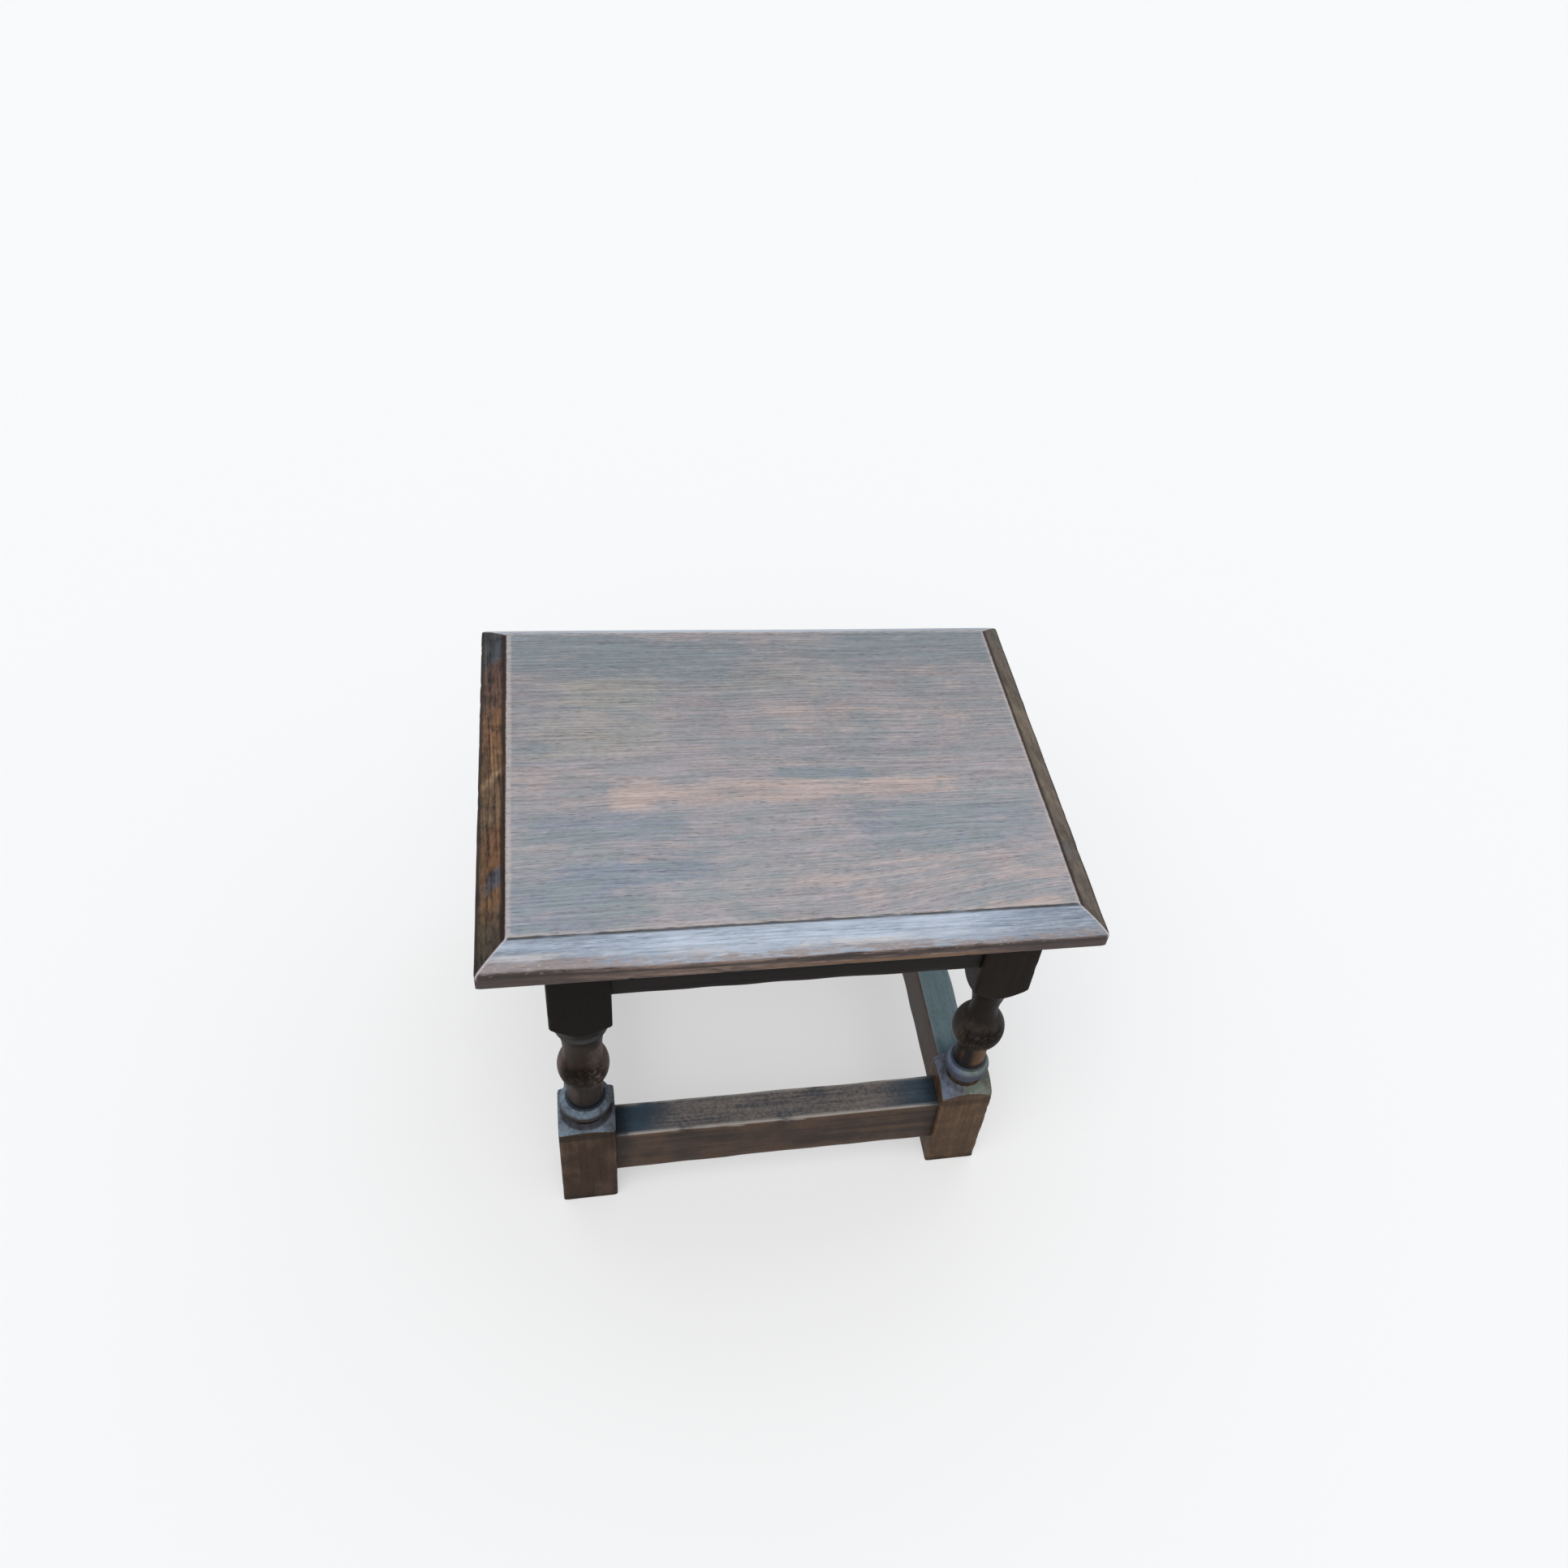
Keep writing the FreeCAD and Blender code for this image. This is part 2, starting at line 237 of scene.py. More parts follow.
@dataclass
class Skin:
    """Closed skin of one piece, gathered from grids of points and welded into a mesh."""

    name: str
    weld_step: float = 1e-4
    points: list[Array] = field(default_factory=list)
    quads: list[Array] = field(default_factory=list)
    slots: list[Array] = field(default_factory=list)
    total: int = 0

    def add(self, grid: Array, slot: int = 0) -> None:
        """Adds a grid as four-sided faces between neighbouring rows and columns.

        Args:
            grid: points in millimetres, shaped rows by columns by 3.
            slot: the material slot of its faces.
        """
        rows, columns = grid.shape[:2]
        index = self.total + np.arange(rows * columns).reshape(rows, columns)
        corners = [index[:-1, :-1], index[:-1, 1:], index[1:, 1:], index[1:, :-1]]
        faces = np.stack(corners, axis=-1).reshape(-1, 4)
        self.points.append(grid.reshape(-1, 3))
        self.quads.append(faces)
        self.slots.append(np.full(len(faces), int(slot)))
        self.total += rows * columns

    def weld(self) -> tuple[Array, Array, Array, Array]:
        """Joins points that lie in one place and drops the faces that this closes up.

        Returns:
            The points, the faces with four corners, those with three, and each face's slot.
        """
        points, faces = np.concatenate(self.points), np.concatenate(self.quads)
        slots = np.concatenate(self.slots)
        keys = np.round(points / self.weld_step).astype(np.int64)
        _, first, place = np.unique(keys, axis=0, return_index=True, return_inverse=True)
        faces = place.reshape(-1)[faces]
        doubled = faces == np.roll(faces, -1, axis=1)
        repeats = doubled.sum(axis=1)
        whole, three = repeats == 0, repeats == 1
        triangles = faces[three][~doubled[three]].reshape(-1, 3)
        return points[first], faces[whole], triangles, np.concatenate([slots[whole], slots[three]])

    def make(self, materials: list[bpy.types.Material]) -> bpy.types.Object:
        """Turns the skin into a smooth object whose faces point outwards.

        Args:
            materials: the materials of its slots.

        Returns:
            The object, which is in the scene.
        """
        points, quads, triangles, slots = self.weld()
        mesh = bpy.data.meshes.new(self.name)
        mesh.from_pydata((points * MM).tolist(), [], quads.tolist() + triangles.tolist())
        mesh.polygons.foreach_set("material_index", slots.astype(np.int32))
        mesh.polygons.foreach_set("use_smooth", np.ones(len(mesh.polygons), bool))
        for material in materials:
            mesh.materials.append(material)
        mesh.update()
        made = bpy.data.objects.new(self.name, mesh)
        bpy.context.scene.collection.objects.link(made)
        bpy.context.view_layer.objects.active = made
        made.select_set(True)
        bpy.ops.object.mode_set(mode="EDIT")
        bpy.ops.mesh.select_all(action="SELECT")
        bpy.ops.mesh.normals_make_consistent(inside=False)
        bpy.ops.object.mode_set(mode="OBJECT")
        made.select_set(False)
        return made


def rows_of(items: bpy.types.bpy_prop_collection, name: str) -> Array:
    """The three values of that name for each item of a mesh's list.

    Args:
        items: the mesh's points, or its directions at them.
        name: the name of the values.

    Returns:
        The values, one row for each item.
    """
    flat = np.empty(len(items) * 3, np.float32)
    items.foreach_get(name, flat)
    return flat.reshape(-1, 3).astype(float)


def points_of(piece: bpy.types.Object) -> Array:
    """A piece's points in millimetres, one row each."""
    return rows_of(piece.data.vertices, "co") / MM


def normals_of(piece: bpy.types.Object) -> Array:
    """A piece's outward directions at its points, one row each."""
    return rows_of(piece.data.vertex_normals, "vector")


def sink(piece: bpy.types.Object, depth: Array) -> None:
    """Moves each point inwards by its own depth: point - normal * depth.

    Args:
        piece: the piece to wear down.
        depth: millimetres for each point, never below 0.
    """
    moved = points_of(piece) - normals_of(piece) * depth[:, None]
    piece.data.vertices.foreach_set("co", (moved * MM).astype(np.float32).ravel())
    piece.data.update()


def mark(piece: bpy.types.Object, name: str, values: Array) -> None:
    """Keeps a value from 0 to 1 at each point of a piece, for its materials to read."""
    kept = piece.data.attributes.new(name, "FLOAT", "POINT")
    kept.data.foreach_set("value", np.clip(values, 0, 1).astype(np.float32))


def settle(piece: bpy.types.Object, node: str) -> None:
    """Sets a finished piece on the stool in place of its CAD node, and reports it.

    Args:
        piece: the finished piece.
        node: the CAD node.
    """
    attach(piece, BODY)
    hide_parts(node)
    LOG.info("%s: %d faces for %s", piece.name, len(piece.data.polygons), node)


# Shaders


def paint(code: str) -> Point:
    """Linear colour of a six-digit sRGB code.

    A channel c becomes c / 12.92 when it is small, and ((c + 0.055) / 1.055) ** 2.4 otherwise.

    Args:
        code: the colour as "#rrggbb".

    Returns:
        Red, green and blue from 0 to 1.
    """
    channels = (int(code[start:start + 2], 16) / 255 for start in (1, 3, 5))
    return tuple(c / 12.92 if c <= 0.04045 else ((c + 0.055) / 1.055) ** 2.4 for c in channels)


class Wire:
    """One output of a node, which takes part in sums as a number does."""

    def __init__(self, graph: "Graph", socket: bpy.types.NodeSocket) -> None:
        """Wraps a socket of a graph."""
        self.graph = graph
        self.socket = socket

    def _sum(self, operation: str, first: "Wire | float", second: "Wire | float") -> "Wire":
        """A Math node of that operation on two values."""
        return self.graph.node("ShaderNodeMath", {0: first, 1: second}, operation=operation)

    def __add__(self, other: "Wire | float") -> "Wire":
        """This plus other."""
        return self._sum("ADD", self, other)

    def __sub__(self, other: "Wire | float") -> "Wire":
        """This minus other."""
        return self._sum("SUBTRACT", self, other)

    def __rsub__(self, other: "Wire | float") -> "Wire":
        """Other minus this."""
        return self._sum("SUBTRACT", other, self)

    def __mul__(self, other: "Wire | float") -> "Wire":
        """This times other."""
        return self._sum("MULTIPLY", self, other)

    def __abs__(self) -> "Wire":
        """The size of this, without its sign."""
        return self._sum("ABSOLUTE", self, 0.0)

    def __neg__(self) -> "Wire":
        """This with its sign turned."""
        return self * -1.0

    __radd__ = __add__
    __rmul__ = __mul__

    def least(self, other: "Wire | float") -> "Wire":
        """The lesser of this and other."""
        return self._sum("MINIMUM", self, other)

    def most(self, other: "Wire | float") -> "Wire":
        """The greater of this and other."""
        return self._sum("MAXIMUM", self, other)

    def sway(self, weight: "Wire | float") -> "Wire":
        """How far this lies from a half, times a weight."""
        return (self - 0.5) * weight

    def rise(self, low: float, high: float) -> "Wire":
        """Smooth step from 0 at low to 1 at high, or falling where low is above high."""
        ends = {"Value": self, "From Min": low, "From Max": high}
        return self.graph.node("ShaderNodeMapRange", ends, interpolation_type="SMOOTHSTEP")

    def between(self, low: float, high: float, soft: float) -> "Wire":
        """1 from low to high, falling to 0 over the soft width beyond each."""
        return self.rise(low - soft, low) * self.rise(high + soft, high)


class Graph:
    """Node tree of one material, or of the world."""

    def __init__(self, owner: str | bpy.types.World) -> None:
        """Starts an empty tree.

        Args:
            owner: the name of a new material, or the world.
        """
        self.owner = bpy.data.materials.new(owner) if isinstance(owner, str) else owner
        self.owner.use_nodes = True
        self.tree = self.owner.node_tree
        self.tree.nodes.clear()

    def node(
        self,
        kind: str,
        values: dict[int | str, "Wire | str | float | tuple"] | None = None,
        output: int | str = 0,
        stops: list[tuple[float, str]] | None = None,
        **settings: str | bool | float,
    ) -> Wire | None:
        """Adds a node.

        Args:
            kind: the node's type.
            values: values, colours or wires for its sockets, by name or number.
            output: the output that is wanted.
            stops: a ramp's places and colours.
            settings: the node's own settings, which are set first.

        Returns:
            The wanted output, or None for a node that has none.
        """
        made = self.tree.nodes.new(kind)
        for name, value in settings.items():
            setattr(made, name, value)
        for place, _ in (stops or [])[2:]:
            made.color_ramp.elements.new(place)
        for index, (place, code) in enumerate(stops or []):
            made.color_ramp.elements[index].position = place
            made.color_ramp.elements[index].color = (*paint(code), 1.0)
        for key, value in (values or {}).items():
            if isinstance(value, Wire):
                self.tree.links.new(value.socket, made.inputs[key])
            elif isinstance(value, str):
                made.inputs[key].default_value = (*paint(value), 1.0)
            else:
                made.inputs[key].default_value = value
        return Wire(self, made.outputs[output]) if made.outputs else None

    def mix(self, first: "Wire | str", second: "Wire | str", share: "Wire | float") -> Wire:
        """A colour that goes from first to second as share goes from 0 to 1."""
        values = {0: share, 6: first, 7: second}
        return self.node("ShaderNodeMix", values, output=2, data_type="RGBA")

    def vector(self, operation: str, first: Wire, second: "Wire | Point") -> Wire:
        """A Vector Math node of that operation on two vectors."""
        return self.node("ShaderNodeVectorMath", {0: first, 1: second}, operation=operation)

    def length(self, vector: Wire) -> Wire:
        """The length of a vector."""
        return self.node("ShaderNodeVectorMath", {0: vector}, output=1, operation="LENGTH")

    def joined(self, x: "Wire | float", y: "Wire | float", z: "Wire | float") -> Wire:
        """A vector from three values."""
        return self.node("ShaderNodeCombineXYZ", {0: x, 1: y, 2: z})

    def split(self, vector: Wire) -> tuple[Wire, ...]:
        """The three values of a vector."""
        outputs = self.node("ShaderNodeSeparateXYZ", {0: vector}).socket.node.outputs
        return tuple(Wire(self, output) for output in outputs)

    def noise(
        self, point: Wire, size: Pair | Point, detail: float = 2.0, rough: float = 0.5
    ) -> Wire:
        """Cloudy values about 0.5, whose clouds have that size along each axis.

        Args:
            point: place in millimetres.
            size: millimetres of a cloud along each axis, or along the first and the others.
            detail: how many finer layers it has.
            rough: the share that each finer layer has.

        Returns:
            The value, from 0 to 1.
        """
        stretched = self.vector("DIVIDE", point, (*size, size[-1])[:3])
        values = {"Vector": stretched, "Scale": 1.0, "Detail": detail, "Roughness": rough}
        return self.node("ShaderNodeTexNoise", values)

    def attribute(self, name: str) -> Wire:
        """A value that was kept on the piece's points."""
        return self.node("ShaderNodeAttribute", output="Fac", attribute_name=name)

    def place(self, centre: Point = (0.0, 0.0, 0.0)) -> Wire:
        """Object coordinates in millimetres from a centre."""
        metres = self.node("ShaderNodeTexCoord", output="Object")
        return self.vector("SUBTRACT", self.vector("MULTIPLY", metres, (1 / MM,) * 3), centre)

    def seen(self) -> Wire:
        """Tells the rays that are seen from those that only carry light.

        Returns:
            1 for the rays of the camera and of clear and glossy pieces, and 0 for light.
        """
        outputs = self.node("ShaderNodeLightPath").socket.node.outputs
        rays = ("Is Camera Ray", "Is Glossy Ray", "Is Transmission Ray")
        camera, glossy, clear = (Wire(self, outputs[ray]) for ray in rays)
        return camera.most(glossy).most(clear)


class Coats:
    """Colour of a surface while it is painted, one coat over another."""

    wax_roughness: float = 0.32

    def __init__(self, graph: Graph, first: "Wire | str") -> None:
        """Starts with a first colour."""
        self.graph = graph
        self.colour = first

    def over(self, colour: "Wire | str", share: "Wire | float") -> None:
        """Lays a colour over what is there, as thick as the share."""
        self.colour = self.graph.mix(self.colour, colour, share)

    def shade(self, factor: Wire) -> None:
        """Makes the colour lighter or darker by a factor."""
        values = {0: self.colour, "Scale": factor}
        self.colour = self.graph.node("ShaderNodeVectorMath", values, operation="SCALE")

    def varnish(
        self,
        roughness: Wire,
        relief: Wire,
        gloss: float,
        coat: float = 0.0,
        metallic: float = 0.0,
    ) -> None:
        """Ends the tree in a shader.

        Args:
            roughness: how far the gloss spreads.
            relief: height of the surface in millimetres.
            gloss: level of its reflections, where 0.5 is a fresh varnish.
            coat: weight of the wax over it.
            metallic: 1 for metal.
        """
        graph = self.graph
        values = {
            "Base Color": self.colour,
            "Roughness": roughness,
            "Normal": graph.node("ShaderNodeBump", {"Distance": MM, "Height": relief}),
            "Metallic": metallic,
            "Specular IOR Level": gloss,
            "Coat Weight": coat,
            "Coat Roughness": self.wax_roughness,
        }
        shader = graph.node("ShaderNodeBsdfPrincipled", values)
        graph.node("ShaderNodeOutputMaterial", {"Surface": shader})


class Grain(Enum):
    """The way that a piece's grain runs, as the order that puts it first."""

    X = (0, 1, 2)
    Y = (1, 0, 2)
    Z = (2, 0, 1)


@dataclass(frozen=True)
class OakFigure:
    """Grain of a board: slow waves, streaks, fibres and open pores."""

    grain: Grain
    seed: float
    wander: float = 7.0
    sweep: float = 0.0
    wave: Pair = (90.0, 90.0)
    broad: Pair = (130.0, 6.0)
    streak: Pair = (46.0, 1.7)
    fibre: Pair = (12.0, 0.5)
    pore: Pair = (7.0, 0.34)
    stride: Point = (37.0, 91.0, 53.0)
    shift: float = 211.0

    def layers(self, graph: Graph, place: Wire) -> tuple[Wire, Wire, Wire, Wire, Wire]:
        """Grain coordinates, and the broad bands, streaks, fibres and pores that follow them.

        Slow waves, and the sweep of a board's front right corner, shift them across the grain.

        Args:
            graph: the material's tree.
            place: place in millimetres.

        Returns:
            The coordinates with the grain first, then the four, each about 0.5 but the
            pores, which are 0 with marks of up to 1.
        """
        axes = graph.split(place)
        along, across, depth = (axes[i] for i in self.grain.value)
        shifted = graph.vector("ADD", place, tuple(self.seed * step for step in self.stride))
        wave = graph.noise(shifted, self.wave, 1.0).sway(self.wander)
        if self.sweep:
            wave = wave - along.rise(10.0, 190.0) * (-across).rise(60.0, 125.0) * self.sweep
        offset = self.seed * self.shift
        point = graph.joined(along + offset, across + wave + offset, depth + offset)
        broad = graph.noise(point, self.broad)
        streak = graph.noise(point, self.streak, 3.0, 0.6)
        fibre = graph.noise(point, self.fibre)
        pore = graph.noise(point, self.pore, 1.0).rise(0.6, 0.72)
        return point, broad, streak, fibre, pore * streak.rise(0.62, 0.42)


class Finish:
    """Any finish, which makes a material by its own steps."""

    def make(self, name: str) -> bpy.types.Material:
        """Builds the material.

        Args:
            name: its name.

        Returns:
            The material, with its tree filled.
        """
        graph = Graph(name)
        self.dress(graph)
        return graph.owner

    def dress(self, graph: Graph) -> None:
        """Fills the material's tree, as each finish does in its own way."""
        raise NotImplementedError


@dataclass(frozen=True)
class Top:
    """Sizes of the top, which its boards and their finishes share."""

    length: float = 380.0
    depth: float = 306.0
    height: float = 292.0
    thickness: float = 24.0
    bevel_drop: float = 12.0
    margin: float = 17.5

    @property
    def base(self) -> float:
        """Height of the underside."""
        return self.height - self.thickness

    @property
    def arris(self) -> float:
        """Height of the arris where the bevel meets the lip."""
        return self.height - self.bevel_drop

    def inward(self, x: Array | Wire, y: Array | Wire) -> tuple[Array | Wire, Array | Wire]:
        """How far a place lies in from the nearer end, and from the nearer long side."""
        return self.length / 2 - abs(x), self.depth / 2 - abs(y)

    def crown(self, z: Wire) -> Wire:
        """1 on the rounded edge of the field, and 0 on the bevel below it."""
        return z.rise(self.height - 0.6, self.height - 0.1)

    def mitre(self, x: Wire, y: Wire, z: Wire, width: float) -> Wire:
        """1 on the line where two bevels meet above the lip, falling to 0 over a width."""
        end, side = self.inward(x, y)
        return abs(end - side).rise(width, 0.3) * z.rise(self.arris - 5.0, self.arris)


@dataclass(frozen=True)
class Patch:
    """Soft-edged area of the field where the polish has worn or darkened."""

    left: float
    right: float
    front: float
    rear: float
    soft_x: float
    soft_y: float
    strength: float

    def mask(self, x: Wire, y: Wire) -> Wire:
        """The strength inside the area, falling to 0 beyond its edges."""
        inside = x.between(self.left, self.right, self.soft_x)
        return inside * y.between(self.front, self.rear, self.soft_y) * self.strength


@dataclass(frozen=True)
class FieldFinish(Finish):
    """Flat of the top: a painted blue-grey sheen over dark oak, worn through to a reddish brown.
    """

    seed: float
    sweep: float = 0.0
    top: Top = Top()
    # painted_sheen and green: blue-grey and green-grey of a painted sheen, reflection painted into
    # the colour.
    painted_sheen: str = "#7e8795"
    green: str = "#838c91"
    grey: str = "#a69b9b"
    rubbed: str = "#b7a49d"
    straw: str = "#a3a097"
    dark: str = "#3a3533"
    # arris: the pale rim, worn and partly a painted highlight.
    arris: str = "#b9adaa"
    painted_rear_shade: float = 0.76
    left_rub: float = 2.0
    red_patches: tuple[Patch, ...] = (
        Patch(-98, 108, -32, -21, 16, 7, 1.1),
        Patch(-106, -88, -33, -16, 14, 9, 0.65),
        Patch(-28, 18, -5, 4, 16, 6, 0.4),
        Patch(12, 125, 26, 48, 34, 12, 0.5),
        Patch(-163, -124, -32, -4, 16, 12, 0.42),
        Patch(20, 168, -116, -84, 34, 9, 0.42),
        Patch(118, 158, -137, -130, 20, 2.5, 1.2),
    )
    straw_patches: tuple[Patch, ...] = (
        Patch(-125, -84, 60, 80, 24, 14, 0.9),
        Patch(-148, -84, 14, 40, 26, 18, 0.75),
        Patch(-20, 40, 72, 88, 34, 14, 0.6),
        Patch(-60, 40, -112, -98, 40, 10, 0.25),
    )
    blue_patches: tuple[Patch, ...] = (
        Patch(4, 46, -17, -8, 12, 3.5, 1),
        Patch(-142, -84, -60, -48, 36, 11, 0.5),
        Patch(-122, -68, -97, -86, 34, 11, 0.55),
        Patch(-90, -32, 98, 114, 50, 22, 0.5),
        Patch(-165, -118, 108, 134, 50, 30, 0.55),
        Patch(80, 160, 112, 134, 60, 30, 0.5),
        Patch(-165, -122, -134, -106, 45, 24, 0.45),
        Patch(60, 150, -80, -50, 30, 12, 0.35),
    )

    def dress(self, graph: Graph) -> None:
        """Lays the patches, which noise makes ragged, then streaks, painted shade towards the
        rear, pores, and a worn edge that is partly a painted highlight.

        Args:
            graph: the material's tree.
        """
        place = graph.place()
        figure = OakFigure(Grain.X, self.seed, sweep=self.sweep)
        point, broad, streak, fibre, pore = figure.layers(graph, place)
        x, y, _ = graph.split(place)
        cloud = graph.noise(place, (26.0, 15.0), 3.0)
        area = graph.noise(point, (24.0, 9.0), 3.0, 0.55)
        mottle = graph.noise(point, (5.0, 1.8), 3.0, 0.6)
        fleck = graph.noise(point, (4.5, 1.3), 1.0).rise(0.6, 0.78)
        line = graph.noise(point, (60.0, 1.05), 1.0).rise(0.36, 0.64)
        stirred = x + cloud.sway(34.0), y + graph.noise(point, (54.0, 8.0), 3.0).sway(15.0)
        red, straw, blue = (
            sum(patch.mask(*stirred) for patch in patches)
            for patches in (self.red_patches, self.straw_patches, self.blue_patches)
        )

        ragged = area.sway(1.8) + mottle.sway(0.9) + streak.sway(0.3)
        base = broad.sway(0.9) + cloud.sway(1.1)
        # Painted sheen as the base colour: blue-grey, greener towards the rear.
        greened = (area + cloud - 0.5).rise(0.62, 0.38).most(y.rise(10.0, 110.0) * 0.8)
        coats = Coats(graph, graph.mix(self.painted_sheen, self.green, greened))
        coats.over(self.grey, (base + ragged * 0.6 - blue).rise(-0.7, 0.6))
        coats.over(self.straw, (straw + ragged + base * 0.4).rise(0.0, 1.6) * 0.85)
        coats.over(self.rubbed, (red + ragged + base * 0.6).rise(0.1, 1.7) * 0.95)
        # Painted shade: the top is darker towards its rear.
        light = y.rise(130.0, -120.0) * (1 - self.painted_rear_shade) + self.painted_rear_shade
        light = light + streak.sway(0.36) + fibre.sway(0.36) + line.sway(0.24)
        coats.shade(light + mottle.sway(0.34) + fleck * 0.12)
        coats.over(self.dark, pore * 0.62)

        end, side = self.top.inward(x, y)
        edge = end.least(side) - self.top.margin - x.rise(-166.0, -171.0) * self.left_rub
        # The pale rim is wear, and partly a painted highlight on the rounded edge.
        crown = (edge + cloud.sway(3.0)).rise(3.2, 0.8)
        coats.over(self.arris, crown * mottle.rise(0.2, 0.6) * 0.65)
        roughness = 0.42 + cloud.sway(0.16) + streak.sway(0.12) + pore * 0.25
        relief = streak.sway(0.09) + line.sway(0.03) + fibre.sway(0.05) - pore * 0.12
        coats.varnish(roughness, relief, gloss=0.3, coat=0.15)


@dataclass(frozen=True)
class BevelFinish(Finish):
    """Moulding along the grain: a bevel painted pale blue-grey as a sheen, over a brown lip."""

    seed: float
    top: Top = Top()
    # pale, grey and pink: a painted sheen, reflection painted into the bevel's colour.
    pale: str = "#a9b4c3"
    grey: str = "#8793a4"
    pink: str = "#c4bdc3"
    worn: str = "#8c7d78"
    brown: str = "#3a2b28"
    rubbed: str = "#7f695d"
    olive: str = "#6b4e35"
    dark: str = "#1d1817"
    cream: str = "#d2c4b8"
    hand_planed: float = 1.8

    def dress(self, graph: Graph) -> None:
        """Paints the bevel with a painted sheen, then the lip under its arris, then the quirk's
        painted shade and the mitres.

        Args:
            graph: the material's tree.
        """
        place = graph.place()
        figure = OakFigure(Grain.X, self.seed, wander=1.5)
        point, broad, streak, fibre, pore = figure.layers(graph, place)
        x, y, z = graph.split(place)
        cloud = graph.noise(place, (34.0, 8.0), 3.0)
        mottle = graph.noise(point, (11.0, 1.6), 3.0, 0.6)
        fleck = graph.noise(point, (3.5, 1.2), 1.0).rise(0.58, 0.74)
        line = graph.noise(point, (55.0, 1.0), 1.0).rise(0.36, 0.64)
        above = z - self.top.arris
        level = above + cloud.sway(2.4) + mottle.sway(1.4)
        level = level - x.rise(-50.0, -190.0) * self.hand_planed

        # Painted sheen: pale blue-grey, lightest in the middle of the length.
        pale = cloud.sway(1.1) + broad + mottle - 1 + abs(x).rise(150.0, 40.0) * 0.5
        coats = Coats(graph, graph.mix(self.grey, self.pale, pale.rise(-0.4, 0.6)))
        coats.over(self.pink, fleck * cloud.rise(0.35, 0.6) * 0.6)
        light = 1 + streak.sway(0.4) + fibre.sway(0.25) + line.sway(0.26) + mottle.sway(0.34)
        coats.shade(light - x.rise(-70.0, -150.0) * 0.09 - x.rise(90.0, 165.0) * 0.2)
        # Painted highlight: a cream streak of shine low on the bevel.
        shine = level.between(3.6, 4.8, 1.0) * cloud.rise(0.4, 0.6) * x.rise(150.0, 90.0)
        coats.over(self.cream, shine * 0.35)
        band = level.rise(4.4, 2.0)
        worn = (cloud + mottle - 0.5 + x.rise(-90.0, -150.0) * 0.3).rise(0.3, 0.6)
        coats.over(self.worn, band * worn * 0.8)
        coats.over(self.cream, band * fleck * 0.25)

        bare = (mottle * 0.6 + cloud * 0.6 + streak.sway(0.5)).rise(0.45, 0.75)
        bare = bare * (x.rise(-170.0, -80.0) * x.rise(150.0, 60.0) * 0.7 + 0.1)
        bare = bare * (level.rise(-11.5, -9.0) * 0.6 + 0.4)
        lip = Coats(graph, graph.mix(self.brown, self.rubbed, bare))
        lip.over(self.dark, level.between(-4.6, -3.0, 1.2) * 0.7)
        # Painted glints: cream flecks on the lip just under the arris.
        lip.over(self.cream, level.between(-2.3, -1.3, 0.5) * fleck * 0.25)
        heel = level.between(-10.8, -8.4, 1.2) * x.rise(150.0, 80.0)
        lip.over(self.olive, heel * (x + cloud.sway(120.0)).rise(-60.0, 40.0) * 0.85)
        # Painted shade: the lip colour is darker where it reaches up onto the arris.
        lip.shade(1 - above.rise(-1.0, 0.5) * 0.3 + streak.sway(0.6) + mottle.sway(0.4))
        coats.over(lip.colour, level.rise(0.3, -1.3))

        margin = self.top.margin
        # Painted shade: a dark line in the step of the quirk.
        quirk = (self.top.inward(x, y)[1] + mottle - 0.5).rise(margin - 1.3, margin - 0.4)
        coats.over(self.dark, quirk * cloud.rise(0.2, 0.45) * 0.85)
        # Cream on the rounded rim: wear, and partly a painted highlight.
        coats.over(self.cream, self.top.crown(z) * mottle.rise(0.3, 0.62) * 0.6)
        coats.over(self.dark, pore * 0.35)
        coats.over(self.pink, self.top.mitre(x, y, z, 2.0) * mottle.rise(0.25, 0.5) * 0.9)
        relief = streak.sway(0.1) + fibre.sway(0.05) - pore * 0.1 + mottle.sway(0.06)
        coats.varnish(0.44 + cloud.sway(0.2) + band * 0.08, relief, gloss=0.3, coat=0.12)


